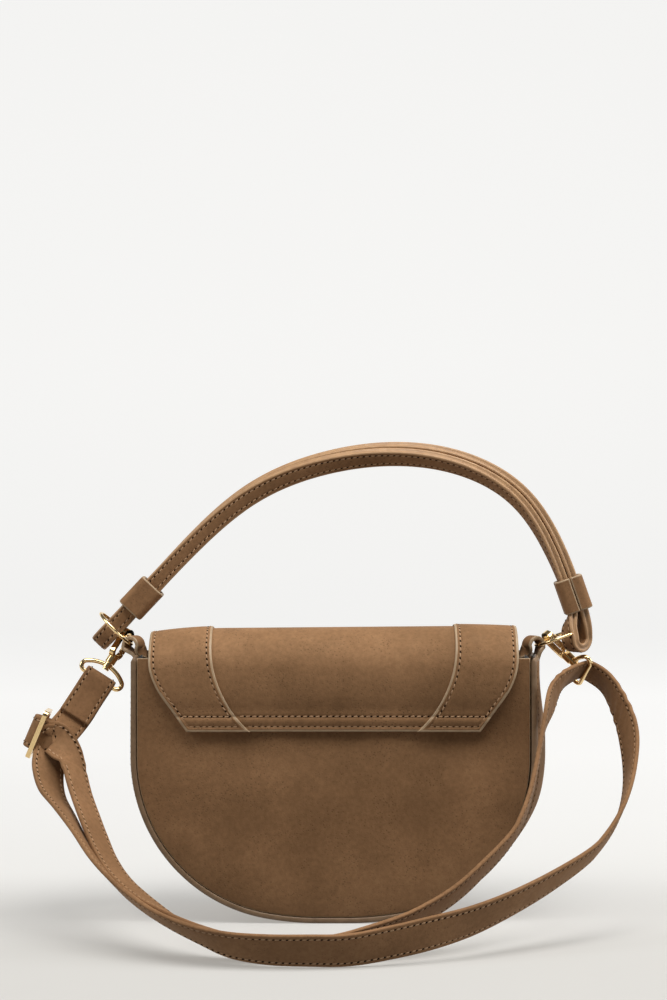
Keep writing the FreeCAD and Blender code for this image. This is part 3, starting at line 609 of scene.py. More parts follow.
back_run = bend_z - flap_back_low
bend_run = flap_bend * math.pi / 2
top_run = (flap_front_y - flap_back_y) - 2 * flap_bend
front_run = bend_z - flap_front_low
cut_s = back_run + bend_run - (flap_back_y + flap_bend)
full_run = back_run + 2 * bend_run + top_run + front_run
pad_depth, pad_run = 1.8, 52.0
end_start, end_reach, end_sag, end_sag_z = 62.0, 42.0, (3.0, 1.3), (132.0, 163.0)
top_sag, top_tilt = 1.2, 0.0085
front_sag, front_sag_y, front_sag_z = 5.0, (-22.0, 30.0), (95.0, 150.0)
overlay_gap, stitch_sink = 0.02, 0.3
row_gap, foot_rows = 2.9, (3.1, 8.7)
front_row_short, front_bare_half, overlay_row_short = 0.8, 21.0, 5.0
foot_corner_share, seam_clear_out, seam_clear_in = 1.2, 3.4, 1.5
foot_top, foot_fade = 14.0, 6.0
off_foot = 99.0
foot_steps = np.array([0, 0.15, 0.4, 0.8, 1.3, 1.8, 2.3, 2.8, 3.3, 3.8, 4.4, 5.2, 6.0, 6.8, 7.5, 8.1, 8.7,
                       9.3, 10.0, 11.0, 12.5, 14.5, 17.0])
side_steps = np.array([0, 0.15, 0.4, 0.8, 1.3, 1.8, 2.4, 2.9, 3.4, 4.2, 5.5, 7.5])
# Relief as place, width and height: in from the cut edges, then up from the back's foot
edge_bead, edge_groove = (1.9, 0.4, 0.24), (row_gap, 0.55, 0.32)
foot_puff, foot_groove, foot_sink = (5.9, 1.7, 0.35), (foot_rows[1], 0.8, 0.42), (12.5, 3.2, 0.40)


def fold(s):
    """Place (y, z) and normal (y, z) on the flap's inner face at a distance along it."""
    padded_y = flap_back_y - pad_depth * math.sin(math.pi * min(s / pad_run, 1)) ** 2
    if s <= back_run:
        return padded_y, flap_back_low + s, -1.0, 0.0
    s -= back_run
    if s <= bend_run:
        angle = s / flap_bend
        return (padded_y + flap_bend * (1 - math.cos(angle)), bend_z + flap_bend * math.sin(angle),
                -math.cos(angle), math.sin(angle))
    s -= bend_run
    if s <= top_run:
        return flap_back_y + flap_bend + s, bend_z + flap_bend, 0.0, 1.0
    s -= top_run
    if s <= bend_run:
        angle = s / flap_bend
        return (flap_front_y - flap_bend * (1 - math.sin(angle)), bend_z + flap_bend * math.cos(angle),
                math.sin(angle), math.cos(angle))
    return flap_front_y, bend_z - (s - bend_run), 1.0, 0.0


def back_half_width(z):
    """Half the flap's width on the back: slanted corners, then rounded shoulders."""
    turn = math.radians(flap_cut_angle)
    meet_z = flap_back_low + (flap_half_w - flap_corner_half_w) / math.tan(turn)
    shoulder_z = meet_z + flap_side_r * math.tan(turn / 2)
    if z >= shoulder_z:
        return flap_half_w
    if z >= shoulder_z - flap_side_r * math.sin(turn):
        return flap_half_w - flap_side_r + math.sqrt(flap_side_r ** 2 - (shoulder_z - z) ** 2)
    return flap_corner_half_w + (z - flap_back_low) * math.tan(turn)


def half_width(s):
    """Half the flap's width at a distance along it."""
    z = fold(s)[1]
    if s <= back_run + bend_run:
        return back_half_width(z)
    return d_half_width(z, front_d) if s > full_run - front_run else flap_half_w


def overlay_edge(s):
    """Where an overlay's inner edge is at a distance along the flap."""
    z = fold(s)[1]
    radius = overlay_back_r if s < cut_s else overlay_front_r
    drop = overlay_bend_z - z
    if drop <= 0:
        return overlay_edge_x
    return overlay_edge_x - radius + math.sqrt(radius ** 2 - drop ** 2)


def droop(x, y, z):
    """The flap's top sinks towards the front, and its ends over the bag's corners, more on the left."""
    out = np.clip((np.abs(x) - end_start) / end_reach, 0, 1) ** 2
    ends = -np.where(x < 0, *end_sag) * out - top_sag + top_tilt * x
    front = -front_sag * smoothstep(y, *front_sag_y) * smoothstep(z, *front_sag_z)
    return ends * smoothstep(z, *end_sag_z) + front


def line_gap(points, line):
    """Each point's distance from a run of straight stretches."""
    a, b = line[:-1], line[1:]
    along = b - a
    size = np.maximum(np.sum(along ** 2, axis=1), 1e-12)
    shape = points.shape[:-1]
    flat = points.reshape(-1, 1, 2)
    t = np.clip(np.sum((flat - a) * along, axis=2) / size, 0, 1)
    away = flat - (a + along * t[..., None])
    return np.sqrt(np.min(np.sum(away ** 2, axis=2), axis=1)).reshape(shape)


def run_rows(first, last, low_end):
    """Distances along the flap for one sheet: close together at its foot, then about 3 mm apart."""
    body = np.linspace(20.0, last - first, int((last - first) / 3.0))
    offs = np.concatenate([foot_steps, body])
    return first + offs if low_end == "first" else (last - offs)[::-1]


def flap_relief(gap, s):
    """Stitch grooves near the cut edges, with a padded band between the two rows on the back's foot."""
    on_foot = np.clip(1 - (s - foot_top) / foot_fade, 0, 1)
    puff, groove, sink = (ridge(s, *shape) * on_foot for shape in (foot_puff, foot_groove, foot_sink))
    return puff + ridge(gap, *edge_bead) - ridge(gap, *edge_groove) - groove - sink


def flap_sheet(name, first, last, low_end, offset, wall, side, paint):
    """One stretch of the flap (side 0) or of an overlay on one side of it."""
    rows = run_rows(first, last, low_end)
    sign = -1 if side == -1 else 1
    outer = np.array([half_width(s) for s in rows])
    inner = -outer if side == 0 else np.minimum(np.array([overlay_edge(s) for s in rows]), outer - 0.05)
    span = outer - inner
    fill = 45 if side == 0 else 14
    grid_x = []
    for low, wide in zip(inner, span):
        offs = side_steps * min(1.0, wide / (2.4 * side_steps[-1]))
        mid = np.linspace(offs[-1], wide - offs[-1], fill)[1:-1]
        grid_x.append(low + np.concatenate([offs, mid, wide - offs[::-1]]))
    grid_x = np.array(grid_x) * sign
    y, z, normal_y, normal_z = np.array([fold(s) for s in rows]).T[..., None]
    normal = grid(np.zeros_like(grid_x), normal_y, normal_z)
    middle = grid(grid_x, y, z) + normal * (offset + wall / 2)
    middle[..., 2] += droop(grid_x, middle[..., 1], middle[..., 2])
    outline = [np.stack([sign * outer, rows], axis=1), np.stack([sign * inner, rows], axis=1)]
    low = 0 if low_end == "first" else -1
    foot = np.stack([sign * np.array([inner[low], outer[low]]), [rows[low]] * 2], axis=1)
    points = grid(grid_x, rows[:, None])
    gap = np.min([line_gap(points, line) for line in outline + [foot]], axis=0)
    up_from_foot = points[..., 1] - rows[0] if low_end == "first" else np.full_like(gap, off_foot)
    lift = flap_relief(gap, up_from_foot)
    return sheet_piece(name, middle, normal, gap, wall, min(0.8, wall / 2), [body_leather, edge_paint],
                       lift, paint)


flap_spans = {"back": (0.0, cut_s, "first"), "front": (cut_s, full_run, "last")}


def bend_with_flap(made):
    """Bake a piece's placement into its mesh."""
    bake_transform(made)


for part, (first, last, low_end) in flap_spans.items():
    made = flap_sheet("flap_%s_leather" % part, first, last, low_end, 0.0, flap_wall, 0, paint=1.5)
    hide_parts(*(("flap_back", "flap_top") if part == "back" else ("flap_front",)))
    bend_with_flap(made)
    for label, side in (("left", -1), ("right", 1)):
        made = flap_sheet("%s_overlay_%s_leather" % (label, part), first, last, low_end,
                          flap_wall + overlay_gap, overlay_wall, side, paint=1.3)
        nodes = ("back", "top") if part == "back" else ("front",)
        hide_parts(*["%s_overlay_%s" % (label, n) for n in nodes])
        bend_with_flap(made)


def flap_row(places, height):
    """Places and normals on the flap for (x, s) pairs at a height over its inner face."""
    out, ups = [], []
    for x, s in places:
        y, z, ny, nz = fold(s)
        y_at, z_at = y + ny * height, z + nz * height
        out.append((x, y_at, z_at + float(droop(np.array(x), y_at, z_at))))
        ups.append((0, ny, nz))
    return np.array(out), np.array(ups)


def edge_row(side, edge_x, first, last, count, inset):
    """Stitch places (x, s) beside an edge of the flap, between two distances along it."""
    edge = np.array([(side * edge_x(s), s) for s in np.linspace(first, last, count)])
    return edge + sideways(edge) * (inset * side)


on_overlay = flap_wall + overlay_wall + overlay_gap - stitch_sink
on_flap = flap_wall - stitch_sink
flap_rows = {"back": [], "front": []}
for side in (-1, 1):
    for edge_x, inset in ((half_width, row_gap), (overlay_edge, -row_gap)):
        row = edge_row(side, edge_x, 0, cut_s, 160, inset)
        row = row[(row[:, 1] > row_gap) & (row[:, 1] < cut_s)]
        flap_rows["back"].append(flap_row(row, on_overlay))
    outer = edge_row(side, half_width, cut_s, full_run - front_row_short, 220, row_gap)
    outer = outer[(outer[:, 1] < full_run - row_gap) & (side * outer[:, 0] > front_bare_half)]
    inner = edge_row(side, overlay_edge, cut_s, full_run - overlay_row_short, 220, -row_gap)
    flap_rows["front"] += [flap_row(outer, on_overlay), flap_row(inner, on_overlay)]
for s in foot_rows:
    edge_x = half_width(s) - row_gap * foot_corner_share
    inner_x = overlay_edge(s)
    stretches = ((-edge_x, -inner_x - seam_clear_out, on_overlay),
                 (-inner_x + seam_clear_in, inner_x - seam_clear_in, on_flap),
                 (inner_x + seam_clear_out, edge_x, on_overlay))
    for low, high, height in stretches:
        flap_rows["back"].append(flap_row([(x, s) for x in np.linspace(low, high, 40)], height))
for part, rows in flap_rows.items():
    bend_with_flap(stitches("flap_%s_stitches" % part, rows))


# Tabs, leather loops over the gusset's top ends

tab_width, tab_wall, tab_bore, tab_rise, tab_lean, tab_leg = 8.0, 2.2, 3.7, 4.8, 3.6, 12.0
tab_turn, tab_belly_share = math.radians(30), 0.55
wall_stack = gusset_wall + bond_gap + lining_wall
stack_x = panel_half_w - wall_stack / 2
tab_hub = np.array([stack_x + tab_lean, 0.0, panel_top_z + tab_rise])
tab_leg_x = wall_stack / 2 + bond_gap + tab_wall / 2


def tab_stations(side):
    """Up the outer leg, round the loop and down the inner leg."""
    reach = tab_bore + tab_wall / 2
    out_foot = panel_half_w - gusset_wall / 2 + tab_belly_share * belly_sides[0 if side > 0 else 1]
    in_foot = stack_x - tab_leg_x
    run = [((out_foot, 0, panel_top_z - tab_leg), X), ((out_foot, 0, panel_top_z - tab_leg / 2), X),
           ((out_foot + 0.8, 0, panel_top_z - 0.6), unit(X + 0.3 * Y))]
    swing = X * math.cos(tab_turn) + Y * math.sin(tab_turn)
    for degrees in range(-20, 201, 20):
        angle = math.radians(degrees)
        way = swing * math.cos(angle) + Z * math.sin(angle)
        run.append((tab_hub + way * reach, way))
    run += [((in_foot, 0, panel_top_z - 0.5), -X), ((in_foot, 0, panel_top_z - tab_leg / 2), -X),
            ((in_foot, 0, panel_top_z - tab_leg), -X)]
    flip = np.array([side, 1, 1])
    return [(np.asarray(c) * flip, np.asarray(f) * flip) for c, f in run]


tab_section = strap_profile(tab_width, tab_wall, round_r=0.7, row_gap=1.6, groove=0.0, crown=0.1, notch=0.0)
for label, side in (("left", -1), ("right", 1)):
    # The tab's back side takes the leather painted darker as painted shade
    made = strap(label + "_tab_leather", strap_frames(tab_stations(side), 4, 1), tab_section,
                 [strap_leather, edge_paint, strap_back_painted_shade])
    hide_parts(label + "_tab")
    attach(made, "bag")


# Handle: two strands of one strap, stacked in depth on the left and one over the other on the right

handle_width, handle_wall, strand_gap, handle_rise = 10.5, 5.0, 0.5, 115.6
loop_reach, loop_near, loop_far = 35.0, 3.0, 18.6
right_half_gap, right_drop, right_y, right_swing = 5.4, 10.0, -2.0, 38.0
handle_row_gap, handle_row_sink, handle_steps, handle_twist = 2.4, 0.05, 22, 1.4
keeper_length, keeper_wall, keeper_slack, keeper_corner, keeper_slit = 20.0, 2.0, 0.9, 2.6, 0.25
ring_radius, ring_wire, ring_gap = 12.5, 0.95, 0.65
arch_shares = ((-0.975, 0.279), (-0.680, 0.585), (-0.401, 0.810), (-0.020, 0.960), (0.335, 1.0),
               (0.640, 0.955), (0.944, 0.785), (1.097, 0.570), (1.213, 0.299))
arch_start_way = np.array([0.685, 0, 0.7285])
arch_end_way = np.array([0.330, 0, -0.944])
arch_points = np.array([(panel_half_w * x, 0, panel_top_z + handle_rise * z) for x, z in arch_shares])


def arch_slopes(points, knots):
    """Slopes at the points of a cubic curve that bends evenly, with both end directions given."""
    n = len(points)
    matrix = np.eye(n)
    right = np.zeros_like(points)
    right[0], right[-1] = arch_start_way, arch_end_way
    for i in range(1, n - 1):
        a, b = knots[i] - knots[i - 1], knots[i + 1] - knots[i]
        matrix[i, i - 1:i + 2] = (1 / a, 2 / a + 2 / b, 1 / b)
        right[i] = 3 * ((points[i] - points[i - 1]) / a ** 2 + (points[i + 1] - points[i]) / b ** 2)
    return np.linalg.solve(matrix, right)


arch_knots = lengths_along(arch_points)
arch_ways = arch_slopes(arch_points, arch_knots)


def arch(share):
    """Place and direction on the handle's middle line."""
    at = share * arch_knots[-1]
    i = min(max(int(np.searchsorted(arch_knots, at)) - 1, 0), len(arch_knots) - 2)
    size = arch_knots[i + 1] - arch_knots[i]
    t = (at - arch_knots[i]) / size
    held = (arch_points[i], arch_ways[i] * size, arch_points[i + 1], arch_ways[i + 1] * size)
    shares = (2 * t ** 3 - 3 * t ** 2 + 1, t ** 3 - 2 * t ** 2 + t, 3 * t ** 2 - 2 * t ** 3, t ** 3 - t ** 2)
    slopes = (6 * t ** 2 - 6 * t, 3 * t ** 2 - 4 * t + 1, 6 * t - 6 * t ** 2, 3 * t ** 2 - 2 * t)
    place = sum(share * end for share, end in zip(shares, held))
    way = sum(slope * end for slope, end in zip(slopes, held))
    return place, unit(way)


handle_left_y = (2 * loop_near + handle_wall + strand_gap) / 2
strand_shift = (handle_wall + strand_gap) / 2
strand_apart = 0.5


def arch_station(share, side):
    """One strand's place and face on the arch; the stack of the two turns on the way to the right."""
    place, along = arch(share)
    turn = math.radians(90 * share ** handle_twist)
    stack = -Y * math.cos(turn) - np.cross(along, Y) * math.sin(turn)
    middle = place + Y * (handle_left_y * (1 - share))
    apart = strand_shift + strand_apart * share * (1 - share) ** 2
    return middle + stack * (side * apart), stack * side


def ring_frame(side, degrees):
    """Where an O-ring runs through its tab, and the way it lies from there."""
    turn = math.radians(degrees)
    out = np.array([side * math.cos(turn), 0, math.sin(turn)])
    sag = ring_radius - math.sqrt(ring_radius ** 2 - (tab_width / 2) ** 2)
    return np.array([side * tab_hub[0], 0, tab_hub[2]]) + out * (tab_bore - ring_wire - ring_gap - sag), out


def ring_point(ring, degrees):
    """A place on an O-ring, its angle counted from the tab."""
    tunnel, out = ring
    angle = math.radians(degrees)
    return tunnel + out * (ring_radius * (1 - math.cos(angle))) + Y * (ring_radius * math.sin(angle))


left_ring, right_ring = ring_frame(-1, 45.0), ring_frame(1, 20.0)


def left_loop():
    """From the outer strand, through the ring, round and back to the inner strand."""
    start, down = arch_points[0], unit(arch_points[0] - arch_points[1])
    shares = (0.32, 0.50, 0.66, 0.79)
    middle_y, half = (loop_near + loop_far) / 2, (loop_far - loop_near) / 2
    run = [(start + down * (loop_reach * s) + Y * loop_near, -Y) for s in shares]
    for degrees in (60, 30, 0, -30, -60):
        turn = math.radians(degrees)
        nose = loop_reach * (shares[-1] + (1 - shares[-1]) * math.cos(turn))
        run.append((start + down * nose + Y * (middle_y - half * math.sin(turn)),
                    down * math.cos(turn) - Y * math.sin(turn)))
    back_y = 2 * handle_left_y - loop_near
    for s, spread in zip(shares[::-1], (1.0, 1.0, 0.70, 0.05)):
        run.append((start + down * (loop_reach * s) + Y * (back_y + (loop_far - back_y) * spread), Y))
    return run


def right_loop():
    """From the outer strand in the right keeper, round under the ring's end to the inner strand."""
    hold = ring_point(right_ring, 180) + Y * right_y
    end, down = arch(1.0)
    outward = np.cross(down, Y)

    def aside(share):
        """The loop's sideways direction, swung towards the ring over its length."""
        turn = math.radians(right_swing * share)
        return X * math.cos(turn) + Y * math.sin(turn)

    legs = {}
    for side in (-1, 1):
        leg = [(end + down * (keeper_length * s) + outward * (side * strand_shift), outward * side)
               for s in (0.05, 0.45)]
        for drop, spread, swing in ((0.25, 0.9, 0.6), (-0.40, 1.0, 1.0)):
            leg.append((hold + aside(swing) * (side * right_half_gap * spread) + Z * (right_drop * drop),
                        aside(swing) * side))
        legs[side] = leg
    run = legs[1]
    for degrees in (60, 30, 0, -30, -60):
        turn = math.radians(degrees)
        low = 0.40 + 0.60 * math.cos(turn)
        run.append((hold + aside(1) * (right_half_gap * math.sin(turn)) - Z * (right_drop * low),
                    aside(1) * math.sin(turn) - Z * math.cos(turn)))
    return run + legs[-1][:0:-1]


handle_stations = (right_loop() + [arch_station(1 - i / handle_steps, 1) for i in range(handle_steps + 1)]
                   + left_loop() + [arch_station(i / handle_steps, -1) for i in range(handle_steps + 1)])
handle_frames = strap_frames(handle_stations, 6, 2)
handle_section = strap_profile(handle_width, handle_wall, round_r=0.9, row_gap=handle_row_gap, groove=0.25,
                               crown=0.2, notch=0.8)
made = strap("handle_strap_leather", handle_frames, handle_section,
             [strap_leather, handle_edge, strap_leather])
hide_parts("handle_strap")
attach(made, "handle")
handle_rows = [strap_row(handle_frames, sign * (handle_width / 2 - handle_row_gap),
                         handle_wall / 2 - handle_row_sink) for sign in (-1, 1)]
made = stitches("handle_stitches", handle_rows)
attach(made, "handle")


def keeper(label, share, seam_degrees):
    """A leather sleeve round both strands, its two ends butted together."""
    place, along = arch(share)
    centre = place + Y * (handle_left_y * (1 - share))
    side = np.cross(along, Y)
    bore = max(handle_width, 2 * handle_wall + strand_gap) / 2 + keeper_slack
    half = bore + keeper_wall / 2
    straight = half - keeper_corner
    loop = []
    for k, (sx, sy) in enumerate(((1, 1), (-1, 1), (-1, -1), (1, -1))):
        for t in np.radians(np.linspace(0, 90, 7) + 90 * k):
            loop.append((sx * straight + keeper_corner * math.cos(t),
                         sy * straight + keeper_corner * math.sin(t)))
    loop = np.array(loop + loop[:1])
    steps = lengths_along(loop)
    fine = np.linspace(0, steps[-1], 400)
    spots = between(fine, steps, loop)
    angles = np.degrees(np.arctan2(spots[:, 1], spots[:, 0])) % 360
    start = fine[int(np.argmin(np.abs(angles - seam_degrees)))]
    rim = np.array([0, 0.15, 0.4, 0.8, 1.3])
    length = steps[-1] - 2 * keeper_slit
    run = np.concatenate([rim, np.linspace(2.0, length - 2.0, 70), length - rim[::-1]])
    at = (start + keeper_slit + run) % steps[-1]
    ring = between(at, steps, loop)
    out = -sideways(ring)
    ends = np.concatenate([rim, np.linspace(2.4, keeper_length - 2.4, 9), keeper_length - rim[::-1]])
    middle = (centre + side * ring[:, None, :1] + Y * ring[:, None, 1:]
              + along * (ends - keeper_length / 2)[None, :, None])
    normal = np.repeat((side * out[:, :1] + Y * out[:, 1:])[:, None], len(ends), axis=1)
    gap_round = np.minimum(run, run[-1] - run)
    gap_long = np.minimum(ends, keeper_length - ends)
    gap = np.minimum(gap_round[:, None], gap_long[None, :])
    made = sheet_piece("keeper_%s_leather" % label, middle, normal, gap, keeper_wall, 0.8,
                       [strap_leather, edge_paint], paint=0.9)
    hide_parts("keeper_" + label)
    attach(made, "handle")


keeper("left", 0.0, 90.0)
keeper("right", 1.0, 274.0)


# Shoulder strap: from the left strap ring through the slider, round the right ring and back to the slider

strap_width, strap_wall, strap_fold, strap_reach, slider_turn = 19.0, 2.2, 26.0, 158.0, 4.9
strap_steps, strap_row_gap, strap_row_sink = 12, 2.3, 0.08
dee_wire, slider_bar, move_gap = 1.3, 1.1, 0.3
dee_bar_half, dee_corner, dee_top = 10.2, 3.0, 20.0
dee_height = dee_corner - math.sqrt((dee_top - dee_corner) ** 2 - dee_bar_half ** 2) + dee_top
hook_wire_z = 20.4
inner_shares = (
    ((-1.372, -0.196, 0.694), 12), ((-1.317, -0.215, 0.646), 38), ((-1.278, -0.247, 0.598), 58),
    ((-1.237, -0.304, 0.515), 61), ((-1.190, -0.367, 0.443), 62), ((-1.137, -0.443, 0.371), 64),
    ((-1.081, -0.519, 0.306), 72), ((-1.004, -0.601, 0.244), 81), ((-0.896, -0.684, 0.191), 90),
    ((-0.762, -0.766, 0.144), 104), ((-0.609, -0.835, 0.098), 118), ((-0.438, -0.880, 0.063), 128),
    ((-0.234, -0.905, 0.052), 134), ((-0.018, -0.899, 0.057), 135), ((0.172, -0.861, 0.090), 132),
    ((0.356, -0.804, 0.130), 129), ((0.549, -0.728, 0.200), 125), ((0.709, -0.646, 0.291), 121),
    ((0.856, -0.544, 0.393), 113), ((0.940, -0.449, 0.510), 106), ((0.993, -0.354, 0.652), 101),
    ((1.034, -0.285, 0.782), 100))
outer_shares = (
    ((1.463, -0.184, 0.718), 122), ((1.459, -0.259, 0.607), 104), ((1.424, -0.342, 0.502), 84),
    ((1.354, -0.424, 0.407), 68), ((1.232, -0.525, 0.319), 58), ((1.038, -0.639, 0.244), 47),
    ((0.833, -0.741, 0.181), 38), ((0.636, -0.829, 0.134), 27), ((0.444, -0.899, 0.105), 17),
    ((0.256, -0.949, 0.082), 18), ((0.071, -0.981, 0.0635), 22), ((-0.112, -0.994, 0.064), 24),
    ((-0.296, -0.984, 0.065), 28), ((-0.469, -0.956, 0.075), 38), ((-0.619, -0.911, 0.102), 54),
    ((-0.766, -0.854, 0.139), 62), ((-0.880, -0.791, 0.178), 64), ((-0.996, -0.715, 0.229), 70),
    ((-1.100, -0.633, 0.296), 80), ((-1.198, -0.532, 0.373), 82), ((-1.292, -0.424, 0.451), 98),
    ((-1.367, -0.335, 0.508), 122), ((-1.400, -0.259, 0.569), 150), ((-1.403, -0.203, 0.626), 168))
rise_shares = (
    ((1.072, -0.203, 0.838), (-0.75, 0.6, 0.2)), ((1.119, -0.127, 0.884), (-0.78, 0.5, 0.35)),
    ((1.185, -0.038, 0.918), (-0.62, 0.42, 0.65)))
fall_shares = (
    ((1.351, 0.001, 0.910), (0.68, 0.5, 0.5)), ((1.395, -0.048, 0.871), (0.85, 0.45, 0.25)),
    ((1.432, -0.115, 0.803), (0.9, 0.43, 0.05)))
slider_in = ((1.84, 1.9), (0.73, 1.15), (0.1, 1.0))
slider_out = ((0.1, -1.0), (0.73, -1.15), (1.84, -1.6))
bar_run, bar_tail = ((4.2, 0.9), (2.4, 0.8)), ((2.4, -0.8), (5.2, -0.5))


def route(share):
    """A place given as shares of the bag's half width, the strap's reach and the bag's height."""
    return np.array([panel_half_w, strap_reach, panel_top_z]) * share


slider_centre = route((-1.464, -0.152, 0.711))
slider_face = np.cross(unit((-0.39, 0, -0.92)), Y)
left_axis, right_axis = unit((0.52, 0.25, 0.82)), unit((-0.68, 0.30, 0.67))
left_across = square_to((0.82, 0, -0.52), left_axis)
right_across = square_to((0, -0.69, 0.72), right_axis)
left_bar = ring_point(left_ring, 55.0) - left_axis * (hook_wire_z + dee_height)
right_bar = ring_point(right_ring, 75.0) - right_axis * (hook_wire_z + dee_height)


def half_turn(centre, first_way, middle_way, radius, degrees):
    """Stations round a bar, their angle counted from first_way towards middle_way."""
    run = []
    for angle in np.radians(degrees):
        way = first_way * math.cos(angle) + middle_way * math.sin(angle)
        run.append((centre + way * radius, way))
    return run


def wrap(bar):
    """Radius of the strap's middle line round a bar."""
    return bar + move_gap + strap_wall / 2


def left_end():
    """The strap's sewn fold round the left ring's bar, from its tail to its run."""
    front = unit(np.cross(left_axis, left_across))
    front = front if front[1] < 0 else -front
    turn = wrap(dee_wire)
    pressed = strap_wall / 2 + bond_gap
    neck, neck_gap = 2.0 * turn, 0.8 * turn
    places = ((strap_fold, pressed), (strap_fold / 2, pressed), (neck, neck_gap))
    tail = [(left_bar - left_axis * down + front * out, front) for down, out in places]
    run = [(left_bar - left_axis * down - front * out, -front) for down, out in places[::-1]]
    return tail + half_turn(left_bar, front, left_axis, turn, (0, 45, 90, 135, 180)) + run


def by_slider(size, share):
    """A place beside the slider, as shares of a size along its face and its depth."""
    return slider_centre + slider_face * (size * share[0]) + Y * (size * share[1])


def slider_pass():
    """The strap's way over the slider."""
    over = half_turn(slider_centre, Y, -slider_face, slider_turn, (30, 60, 90, 120, 150))
    return ([(by_slider(slider_turn, s), Y) for s in slider_in] + over
            + [(by_slider(slider_turn, s), -Y) for s in slider_out])


def right_turn():
    """The strap's bend over the right ring's bar."""
    over = unit(np.cross(right_across, X))
    over = over if over[2] > 0 else -over
    return half_turn(right_bar, -square_to(X, right_across), over, wrap(dee_wire), (60, 90, 120))


def slider_end():
    """The strap's far end, folded round the slider's middle bar."""
    size = wrap(slider_bar)
    return ([(by_slider(size, s), Y) for s in bar_run]
            + half_turn(slider_centre, Y, -slider_face, size, (0, 45, 90, 135, 180))
            + [(by_slider(size, s), -Y) for s in bar_tail])


def hanging_run(shares):
    """A run between the rings: the angle beside each place turns the outer side away from the viewer."""
    points = np.array([route(place) for place, _ in shares])
    aside = unit(np.cross(-Y, np.gradient(points, axis=0)))
    turns = np.radians([degrees for _, degrees in shares])
    return [(p, -Y * math.cos(t) + a * math.sin(t)) for p, a, t in zip(points, aside, turns)]


strap_stations = left_end() + slider_pass() + hanging_run(inner_shares)
strap_stations += [(route(s), f) for s, f in rise_shares] + right_turn()
strap_stations += [(route(s), f) for s, f in fall_shares]
strap_stations += hanging_run(outer_shares) + slider_end()
inner_last = len(left_end() + slider_pass()) + len(inner_shares)
strap_path = strap_frames(strap_stations, strap_steps, 4, (inner_last - 4, inner_last + 13))

# Creases as station, reach along the strap, pitch and depth
pleat_rows = ((inner_last - 20, 4.0, 9.0, 0.5), (inner_last + 1, 8.0, 7.5, 0.35),
              (inner_last + 8, 11.0, 8.0, 0.35))


def pleats(across_at):
    """Shallow creases across the strap beside the slider and where it bends over the right ring."""
    run = lengths_along(strap_path[0])
    lift = np.zeros((len(run), len(across_at)))
    for station, reach, pitch, depth in pleat_rows:
        away = run - run[station * strap_steps]
        wave = np.sin(2 * math.pi * (away[:, None] + 0.5 * across_at[None, :]) / pitch)
        lift += depth * np.exp(-(away / reach) ** 2)[:, None] * wave
    return lift


strap_section = strap_profile(strap_width, strap_wall, round_r=0.8, row_gap=strap_row_gap, groove=0.22,
                              crown=0.12, notch=0.0)
# The strap's back side takes the leather painted darker as painted shade
made = strap("shoulder_strap_leather", strap_path, strap_section, [strap_leather, strap_leather, strap_back_painted_shade],
             ripple=pleats)
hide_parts("shoulder_strap")
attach(made, "bag")
strap_edge_rows = [strap_row(strap_path, a * (strap_width / 2 - strap_row_gap),
                             b * (strap_wall / 2 - strap_row_sink)) for a in (-1, 1) for b in (-1, 1)]
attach(stitches("shoulder_strap_stitches", strap_edge_rows), "bag")


# Metal keeps its CAD shape

for node_name, node_object in frame["nodes"].items():
    slots = [row["material_slot"] for row in frame["record"]["subparts"] if row["node"] == node_name]
    if slots == ["gold_metal"]:
        node_object.data.materials.clear()
        node_object.data.materials.append(gold_metal)


# Stage, light and camera

stage_near, stage_far = -1.5, 3.0
stage_glow = ((-1.5, (0.50, 0.49, 0.47)), (-0.4, (0.27, 0.260, 0.240)), (-0.12, (0.30, 0.290, 0.268)),
              (0.12, (0.46, 0.454, 0.438)), (0.40, (0.55, 0.547, 0.536)), (0.80, (0.67, 0.668, 0.660)),
              (1.4, (0.77, 0.769, 0.761)), (2.6, (0.78, 0.779, 0.771)))
paper_dark, paper_light = (0.318, 0.316, 0.310), (0.326, 0.324, 0.318)
room_tones = ((0.30, (0.44, 0.428, 0.41)), (0.50, (0.07, 0.069, 0.067)), (0.85, (0.14, 0.139, 0.136)))


def stage_material():
    """White paper with a very faint unevenness, glowing a little more towards the wall."""
    material, bsdf, coords = shader("white_paper")
    stops = [((y - stage_near) / (stage_far - stage_near), tone) for y, tone in stage_glow]
    settle(bsdf, Base_Color=ramp(noise(coords, 3, 2), (0.3, paper_dark), (0.7, paper_light)),
           Emission_Color=ramp(share_along(coords, "Y", stage_near, stage_far), *stops),
           Emission_Strength=1.0, Roughness=0.9, Specular_IOR_Level=0.1)
    return material


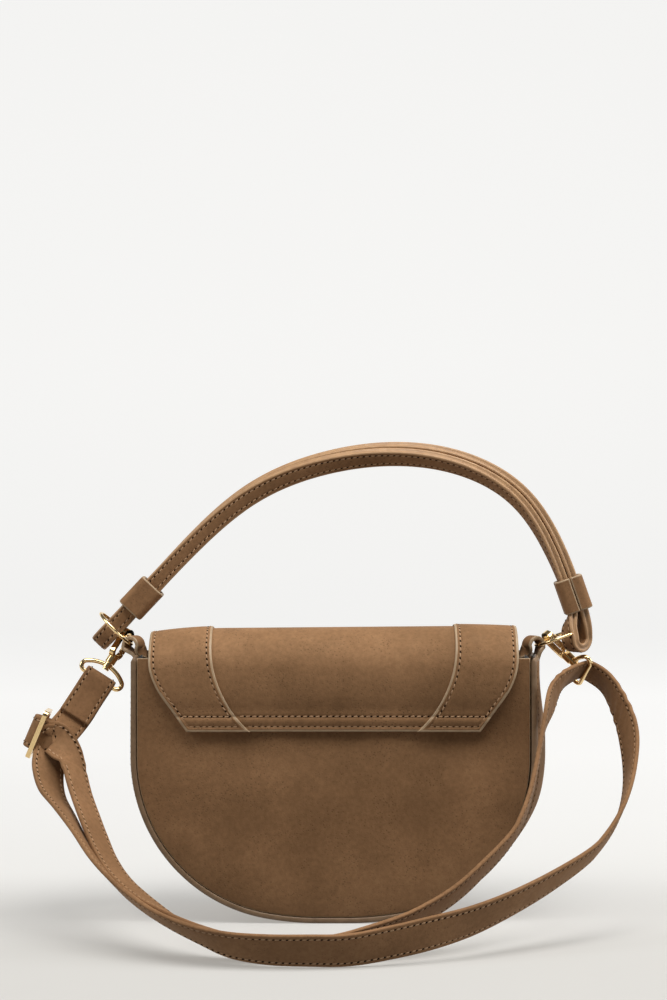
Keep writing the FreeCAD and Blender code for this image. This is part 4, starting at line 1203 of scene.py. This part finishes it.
def backdrop():
    """A floor that sweeps up into a wall behind the bag."""
    side, near, far, sweep, tall = 4000.0, -4000.0, 3000.0, 500.0, 2600.0
    run = [(near, 0.0), (0.0, 0.0), (far - sweep, 0.0)]
    for degrees in range(10, 91, 10):
        angle = math.radians(degrees)
        run.append((far - sweep + sweep * math.sin(angle), sweep * (1 - math.cos(angle))))
    run.append((far, tall))
    verts = [(x, y, z) for y, z in run for x in (-side, side)]
    faces = [(2 * i, 2 * i + 1, 2 * i + 3, 2 * i + 2) for i in range(len(run) - 1)]
    mesh = bpy.data.meshes.new("backdrop")
    mesh.from_pydata([tuple(c * MM for c in v) for v in verts], [], faces)
    mesh.polygons.foreach_set("use_smooth", [True] * len(faces))
    mesh.materials.append(stage_material())
    made = bpy.data.objects.new("backdrop", mesh)
    bpy.context.collection.objects.link(made)
    made.visible_diffuse = False


backdrop()


def studio_world():
    """Light from all round: bright from below as off the floor, dim at eye level, a little lighter above."""
    world = bpy.data.worlds.new("studio")
    bpy.context.scene.world = world
    world.use_nodes = True
    tree = world.node_tree
    height = share_along(node(tree, "ShaderNodeTexCoord").outputs["Generated"], "Z", -1.0, 1.0)
    settle(tree.nodes["Background"], Color=ramp(height, *room_tones))


studio_world()


def softbox(name, place, target, size, power, tint=white):
    """A rectangular lamp aimed at a place; sizes in metres, power in watts."""
    light = bpy.data.lights.new(name, "AREA")
    light.shape, light.size, light.size_y = "RECTANGLE", size[0], size[1]
    light.energy, light.color = power, tint
    made = bpy.data.objects.new(name, light)
    bpy.context.collection.objects.link(made)
    made.location = place
    made.rotation_euler = (Vector(target) - Vector(place)).to_track_quat("-Z", "Y").to_euler()


softbox("top_light", (0.25, -0.42, 1.5), (0, 0.0, 0.1), (1.5, 0.8), 27.5, (1.0, 0.98, 0.95))
softbox("left_light", (-1.5, -0.55, 1.0), (0, 0, 0.12), (0.6, 0.8), 11.0)
softbox("right_light", (1.7, -0.22, 0.8), (0, 0, 0.12), (0.6, 1.0), 15.0)

scene = bpy.context.scene
scene.view_settings.view_transform = "Standard"
camera = bpy.data.cameras.new("camera")
camera.lens, camera.sensor_width, camera.sensor_fit = 80.1, 36.0, "AUTO"
camera.clip_start, camera.clip_end = 0.05, 20.0
viewer = bpy.data.objects.new("camera", camera)
viewer.location = (0.0, -1.285, 0.238)
viewer.rotation_euler = (math.radians(90), 0, 0)
bpy.context.collection.objects.link(viewer)
scene.camera = viewer

bpy.context.view_layer.update()
